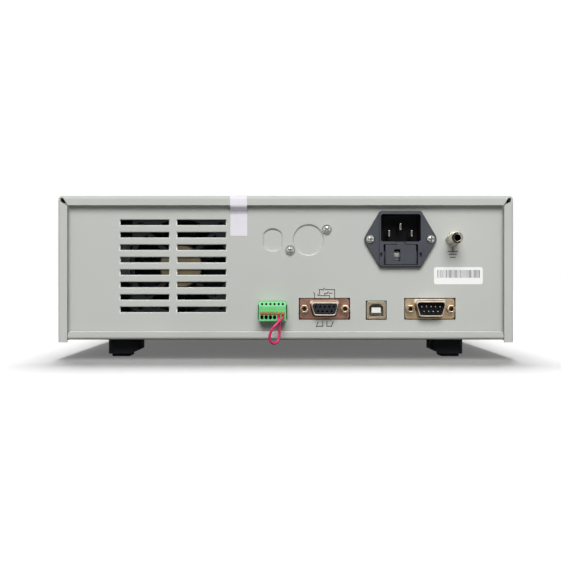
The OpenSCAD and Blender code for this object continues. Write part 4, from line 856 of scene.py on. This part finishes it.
# Plain bars on the label: a row of upright strips of mixed width that stand for no code
def barTree():
    sizes = ("Pitch", "Height", "Thickness", "Narrow", "Wide")
    tree, given = newTree("labelBars", {"Count": "Int", **{size: "Float" for size in sizes}, "Seed": "Int"})
    step = addNode(tree, "ShaderNodeCombineXYZ", {}, {"X": given["Pitch"]})
    row = addNode(tree, "GeometryNodeMeshLine", {},
                  {"Count": given["Count"], "Offset": step.outputs["Vector"]})
    size = addNode(tree, "ShaderNodeCombineXYZ", {"X": 1.0}, {"Y": given["Thickness"], "Z": given["Height"]})
    strip = addNode(tree, "GeometryNodeMeshCube", {}, {"Size": size.outputs["Vector"]})
    wide = addNode(tree, "FunctionNodeRandomValue", {"data_type": "FLOAT"},
                   {2: given["Narrow"], 3: given["Wide"], "Seed": given["Seed"]})
    scale = addNode(tree, "ShaderNodeCombineXYZ", {"Y": 1.0, "Z": 1.0}, {"X": wide.outputs[1]})
    bars = addNode(tree, "GeometryNodeInstanceOnPoints", {},
                   {"Points": row.outputs["Mesh"], "Instance": strip.outputs["Mesh"],
                    "Scale": scale.outputs["Vector"]})
    placed = addNode(tree, "GeometryNodeInstanceOnPoints", {},
                     {"Points": given["Geometry"], "Instance": bars.outputs["Instances"]})
    closeTree(tree, placed.outputs["Instances"], inkDark)
    return tree


def addLabelBars():
    left, low = rearPrint["serial"][0], rearPrint["serial"][2]
    inset, rise = rearPrint["barsFrom"]
    start = (left + inset, panelY + rearPrint["paper"], caseZ + low + rise)
    piece = growPiece("label_bars", barTree(), [start], [(0, 1, 0)], rearPrint["bars"], inkDark)
    seat(piece, "case", slotOf["rear_panel"])


addRearPrint()
addLabelBars()


# Seal strip: from the roof over the flange, across to the panel
seal = {
    "left": 23.8, "right": 34.2, "low": 65.6, "roof": 12, "thick": 0.12, "lift": 0.02,
    "bend": 2, "bendStep": 15,      # radius of the cover's folded edge, degrees from point to point
    "rim": 5.8,                     # lower edge of the flange below the roof
    "leaves": (0.3, 0.8),           # inwards and down, where the strip leaves the flange
    "lands": (0.6, 3.6, 5),         # before the panel and down, where it nears it; down, where it lies flat
    "crease": 16,                   # degrees; sharper folds keep a hard line
}


def addSeal():
    lip = topZ - seal["rim"]
    inward, dip = seal["leaves"]
    before, fall, flat = seal["lands"]
    out = flangeY + seal["lift"]
    roof = topZ + seal["lift"]
    arc = [(flangeY - seal["bend"] + (seal["bend"] + seal["lift"]) * math.sin(math.radians(a)),
            topZ - seal["bend"] + (seal["bend"] + seal["lift"]) * math.cos(math.radians(a)))
           for a in range(0, 91, seal["bendStep"])]
    back = panelY + seal["lift"]
    side = [(flangeY - seal["roof"], roof)] + arc
    side += [(out, lip), (out - inward, lip - dip), (back + before, lip - fall)]
    side += [(back, lip - flat), (back, caseZ + seal["low"])]
    shape = bmesh.new()
    rows = [[shape.verts.new(Vector((x, y, z)) * mm) for y, z in side] for x in (seal["left"], seal["right"])]
    for i in range(len(side) - 1):
        shape.faces.new((rows[0][i], rows[1][i], rows[1][i + 1], rows[0][i + 1]))
    bmesh.ops.recalc_face_normals(shape, faces=shape.faces)
    if sum(f.normal.y for f in shape.faces) < 0:
        bmesh.ops.reverse_faces(shape, faces=shape.faces)
    bmesh.ops.solidify(shape, geom=shape.faces[:], thickness=-seal["thick"] * mm)
    bmesh.ops.recalc_face_normals(shape, faces=shape.faces)
    mesh = bpy.data.meshes.new("seal_strip_blank")
    shape.to_mesh(mesh)
    shape.free()
    piece = newPiece("seal_strip_blank", mesh, sealFilm, degrees=seal["crease"])
    reach = max(v.co.y for v in mesh.vertices) / mm - flangeY
    print("seal strip to", round(reach, 2), "mm before the flange")
    seat(piece, "case", slotOf["top_cover"])


addSeal()
print("labels")


# Front: bezel, face, window, keys and sockets
front = {"bezel": 0.6, "face": 0.2, "window": 0.3, "key": 0.5, "socket": 0.5, "lamp": 0.4}
dressed("front_bezel", bezelAbs, (front["bezel"], anywhere), segments=3)
dressed("face_plate", film, (front["face"], anywhere))
dressed("display_window", acrylic, (front["window"], anywhere))
coated("display_module", blackPbt)
coated("key_board", board)
softKeys = [f"soft_key_{i}" for i in range(1, 6)]
keyColours = {"power_button": keyGrey, "start_button": keyGreen, "stop_button": keyRed}
keyColours.update({node: keyGrey for node in softKeys})
keyColours.update({way + "_key": keyGrey for way in ("up", "down", "left", "right")})
for node, colour in keyColours.items():
    dressed(node, colour, (front["key"], anywhere), segments=3)
dressed("high_voltage_socket", socketRed, (front["socket"], anywhere), segments=3)
dressed("return_socket", blackPbt, (front["socket"], anywhere), segments=3)
dressed("warning_lamp", keyRed, (front["lamp"], anywhere), segments=3)

keyMarks = {
    "size": 3.2, "line": 0.5, "ink": 0.06,
    "ways": {"up": 90, "down": 270, "left": 180, "right": 0},
    "arrow": [(0.7, 0), (-0.5, 0.7), (-0.5, -0.7)],     # in shares of the size, as the next four are
    "start": 1.3, "stop": 0.8, "bar": 1.2,
    "stem": (0.3, 1.2),
    "ring": (40, 280, 20),                              # degrees from the top, degrees round, steps
}


def addKeyMarks():
    r = keyMarks["size"]

    def turned(points, degrees, node):
        at = middle(node)
        c, s = math.cos(math.radians(degrees)), math.sin(math.radians(degrees))
        return [(at.x + x * c - z * s, at.z + x * s + z * c) for x, z in points]

    def mark(node, outlines, ink):
        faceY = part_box(node)[0].y / mm
        raised(node + "_mark", outlines, faceY, -keyMarks["ink"], ink, bodyOf[node], slotOf[node])

    arrow = [(r * x, r * z) for x, z in keyMarks["arrow"]]
    for way, degrees in keyMarks["ways"].items():
        mark(way + "_key", [turned(arrow, degrees, way + "_key")], inkDark)
    go = [(x * keyMarks["start"], z * keyMarks["start"]) for x, z in arrow]
    mark("start_button", [turned(go, 0, "start_button")], inkWhite)
    half = r * keyMarks["stop"]
    box = [(-half, -half), (half, -half), (half, half), (-half, half)]
    mark("stop_button", [turned(box, 0, "stop_button")], inkWhite)
    half = r * keyMarks["bar"]
    bar = stroke((-half, 0), (half, 0), keyMarks["line"])
    for node in softKeys:
        mark(node, [turned(bar, 0, node)], inkDark)
    opening, sweep, steps = keyMarks["ring"]
    angles = [math.radians(opening + sweep * i / steps) for i in range(steps + 1)]
    ring = [(r * math.sin(a), r * math.cos(a)) for a in angles]
    power = [stroke(a, b, keyMarks["line"]) for a, b in zip(ring, ring[1:])]
    power.append(stroke(*[(0, r * share) for share in keyMarks["stem"]], keyMarks["line"]))
    mark("power_button", [turned(o, 0, "power_button") for o in power], inkDark)


addKeyMarks()


# Grip ribs round the collars of the output sockets
def ribTree():
    sizes = ("Radius", "Width", "Length")
    tree, given = newTree("collarRibs", {"Count": "Int", **{size: "Float" for size in sizes}})
    ring = addNode(tree, "GeometryNodeMeshCircle", {},
                   {"Vertices": given["Count"], "Radius": given["Radius"]})
    size = addNode(tree, "ShaderNodeCombineXYZ", {},
                   {"X": given["Width"], "Y": given["Width"], "Z": given["Length"]})
    rib = addNode(tree, "GeometryNodeMeshCube", {}, {"Size": size.outputs["Vector"]})
    spot = addNode(tree, "GeometryNodeInputPosition")
    turn = addNode(tree, "FunctionNodeAlignRotationToVector", {"axis": "X", "pivot_axis": "Z"},
                   {"Vector": spot.outputs["Position"]})
    ribs = addNode(tree, "GeometryNodeInstanceOnPoints", {},
                   {"Points": ring.outputs["Mesh"], "Instance": rib.outputs["Mesh"],
                    "Rotation": turn.outputs["Rotation"]})
    collars = addNode(tree, "GeometryNodeInstanceOnPoints", {},
                      {"Points": given["Geometry"], "Instance": ribs.outputs["Instances"],
                       "Rotation": facingTurn(tree)})
    closeTree(tree, collars.outputs["Instances"], blackPbt)
    return tree


collar = {
    "ribs": {"Count": 28, "Radius": 9.5 * mm, "Width": 0.8 * mm, "Length": 7 * mm},
    "back": 6,      # middle of the ribs behind the socket's front
}


def addRibs():
    tree = ribTree()
    for node, colour in (("high_voltage_socket", socketRed), ("return_socket", blackPbt)):
        at = middle(node)
        at.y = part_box(node)[0].y / mm + collar["back"]
        piece = growPiece(node + "_ribs", tree, [at], [(0, -1, 0)], collar["ribs"], colour)
        seat(piece, bodyOf[node], slotOf[node])


addRibs()
print("front")


# Inside: board, transformer, heat sink and supply
coated("main_board", board)
coated("transformer", coreIron)
coated("heat_sink", anodised)
coated("power_supply", zinc)


# Light: a soft source above and before the panel for the object, one above and behind it for the floor
studio = {
    "keyFrom": (0, 1, 0.77), "keyPower": 2.95, "keyWidth": 37,
    "topFrom": (0.02, -0.73, 1), "topPower": 3.2, "topWidth": 30,
    "ambient": 0.2,
    # reflections show a dim room low behind the camera, with a soft edge
    "room": 0.15, "roomFrom": (0, 0.8, -0.6), "roomEdge": (0.1, 0.7),
    "floor": "#F4F4F4", "bounce": "#909090",    # what the camera sees, and what the floor throws back
    "floorLift": 0.145, "floorSize": 12000, "floorDrop": 0.02,
}


def addSun(name, floor, onFloor):
    lamp = bpy.data.lights.new(name, "SUN")
    lamp.energy = studio[name + "Power"]
    lamp.angle = math.radians(studio[name + "Width"])
    sun = bpy.data.objects.new(name, lamp)
    sun.rotation_euler = Vector(studio[name + "From"]).to_track_quat("Z", "Y").to_euler()
    scene.collection.objects.link(sun)
    lit = bpy.data.collections.new(name + "Lit")
    lit.objects.link(floor)
    lit.collection_objects[0].light_linking.link_state = "INCLUDE" if onFloor else "EXCLUDE"
    sun.light_linking.receiver_collection = lit


# White to the camera; reflections see white too, but for the dim room behind the camera
def addWorld():
    world = bpy.data.worlds.new("whiteRoom")
    scene.world = world
    world.use_nodes = True
    tree = world.node_tree
    path = addNode(tree, "ShaderNodeLightPath")
    toward = addNode(tree, "ShaderNodeTexCoord")
    facing = addNode(tree, "ShaderNodeVectorMath", {"operation": "DOT_PRODUCT", 1: studio["roomFrom"]},
                     {0: toward.outputs["Generated"]})
    near, far = studio["roomEdge"]
    room = addNode(tree, "ShaderNodeMapRange",
                   {"From Min": near, "From Max": far, "To Min": 1.0, "To Max": studio["room"]},
                   {"Value": facing.outputs["Value"]})
    shown = addNode(tree, "ShaderNodeMix", {2: studio["ambient"]},
                    {0: path.outputs["Is Glossy Ray"], 3: room.outputs["Result"]})
    clear = addNode(tree, "ShaderNodeMath", {"operation": "MAXIMUM"},
                    {0: path.outputs["Is Camera Ray"], 1: path.outputs["Is Transmission Ray"]})
    level = addNode(tree, "ShaderNodeMix", {3: 1.0}, {0: clear.outputs[0], 2: shown.outputs[0]})
    tree.nodes["Background"].inputs["Color"].default_value = (1, 1, 1, 1)
    tree.links.new(level.outputs[0], tree.nodes["Background"].inputs["Strength"])


# Pale floor that keeps the shadow; the camera sees it lifted to white where it is lit
def addFloor():
    material = bpy.data.materials.new("floorPaper")
    material.use_nodes = True
    tree = material.node_tree
    tree.nodes.remove(tree.nodes["Principled BSDF"])
    path = addNode(tree, "ShaderNodeLightPath")
    mirrored = addNode(tree, "ShaderNodeMath", {"operation": "MAXIMUM"},
                       {0: path.outputs["Is Glossy Ray"], 1: path.outputs["Is Transmission Ray"]})
    seen = addNode(tree, "ShaderNodeMath", {"operation": "MAXIMUM"},
                   {0: path.outputs["Is Camera Ray"], 1: mirrored.outputs[0]})
    tone = addNode(tree, "ShaderNodeMix", {"data_type": "RGBA", 6: linear(studio["bounce"]),
                                           7: linear(studio["floor"])}, {0: seen.outputs[0]})
    paper = addNode(tree, "ShaderNodeBsdfDiffuse", {}, {"Color": tone.outputs[2]})
    lift = addNode(tree, "ShaderNodeMath", {"operation": "MULTIPLY", 1: studio["floorLift"]},
                   {0: path.outputs["Is Camera Ray"]})
    glow = addNode(tree, "ShaderNodeEmission", {}, {"Strength": lift.outputs[0]})
    both = addNode(tree, "ShaderNodeAddShader", {}, {0: paper.outputs["BSDF"], 1: glow.outputs["Emission"]})
    tree.links.new(both.outputs["Shader"], tree.nodes["Material Output"].inputs["Surface"])
    half = studio["floorSize"] * mm / 2
    mesh = bpy.data.meshes.new("floor")
    corners = [(-half, -half, 0), (half, -half, 0), (half, half, 0), (-half, half, 0)]
    mesh.from_pydata(corners, [], [(0, 1, 2, 3)])
    mesh.materials.append(material)
    floor = bpy.data.objects.new("floor", mesh)
    floor.location.z = -studio["floorDrop"] * mm
    scene.collection.objects.link(floor)
    return floor


addWorld()
floor = addFloor()
addSun("key", floor, False)
addSun("top", floor, True)
scene.view_settings.view_transform = "Standard"
print("stage")
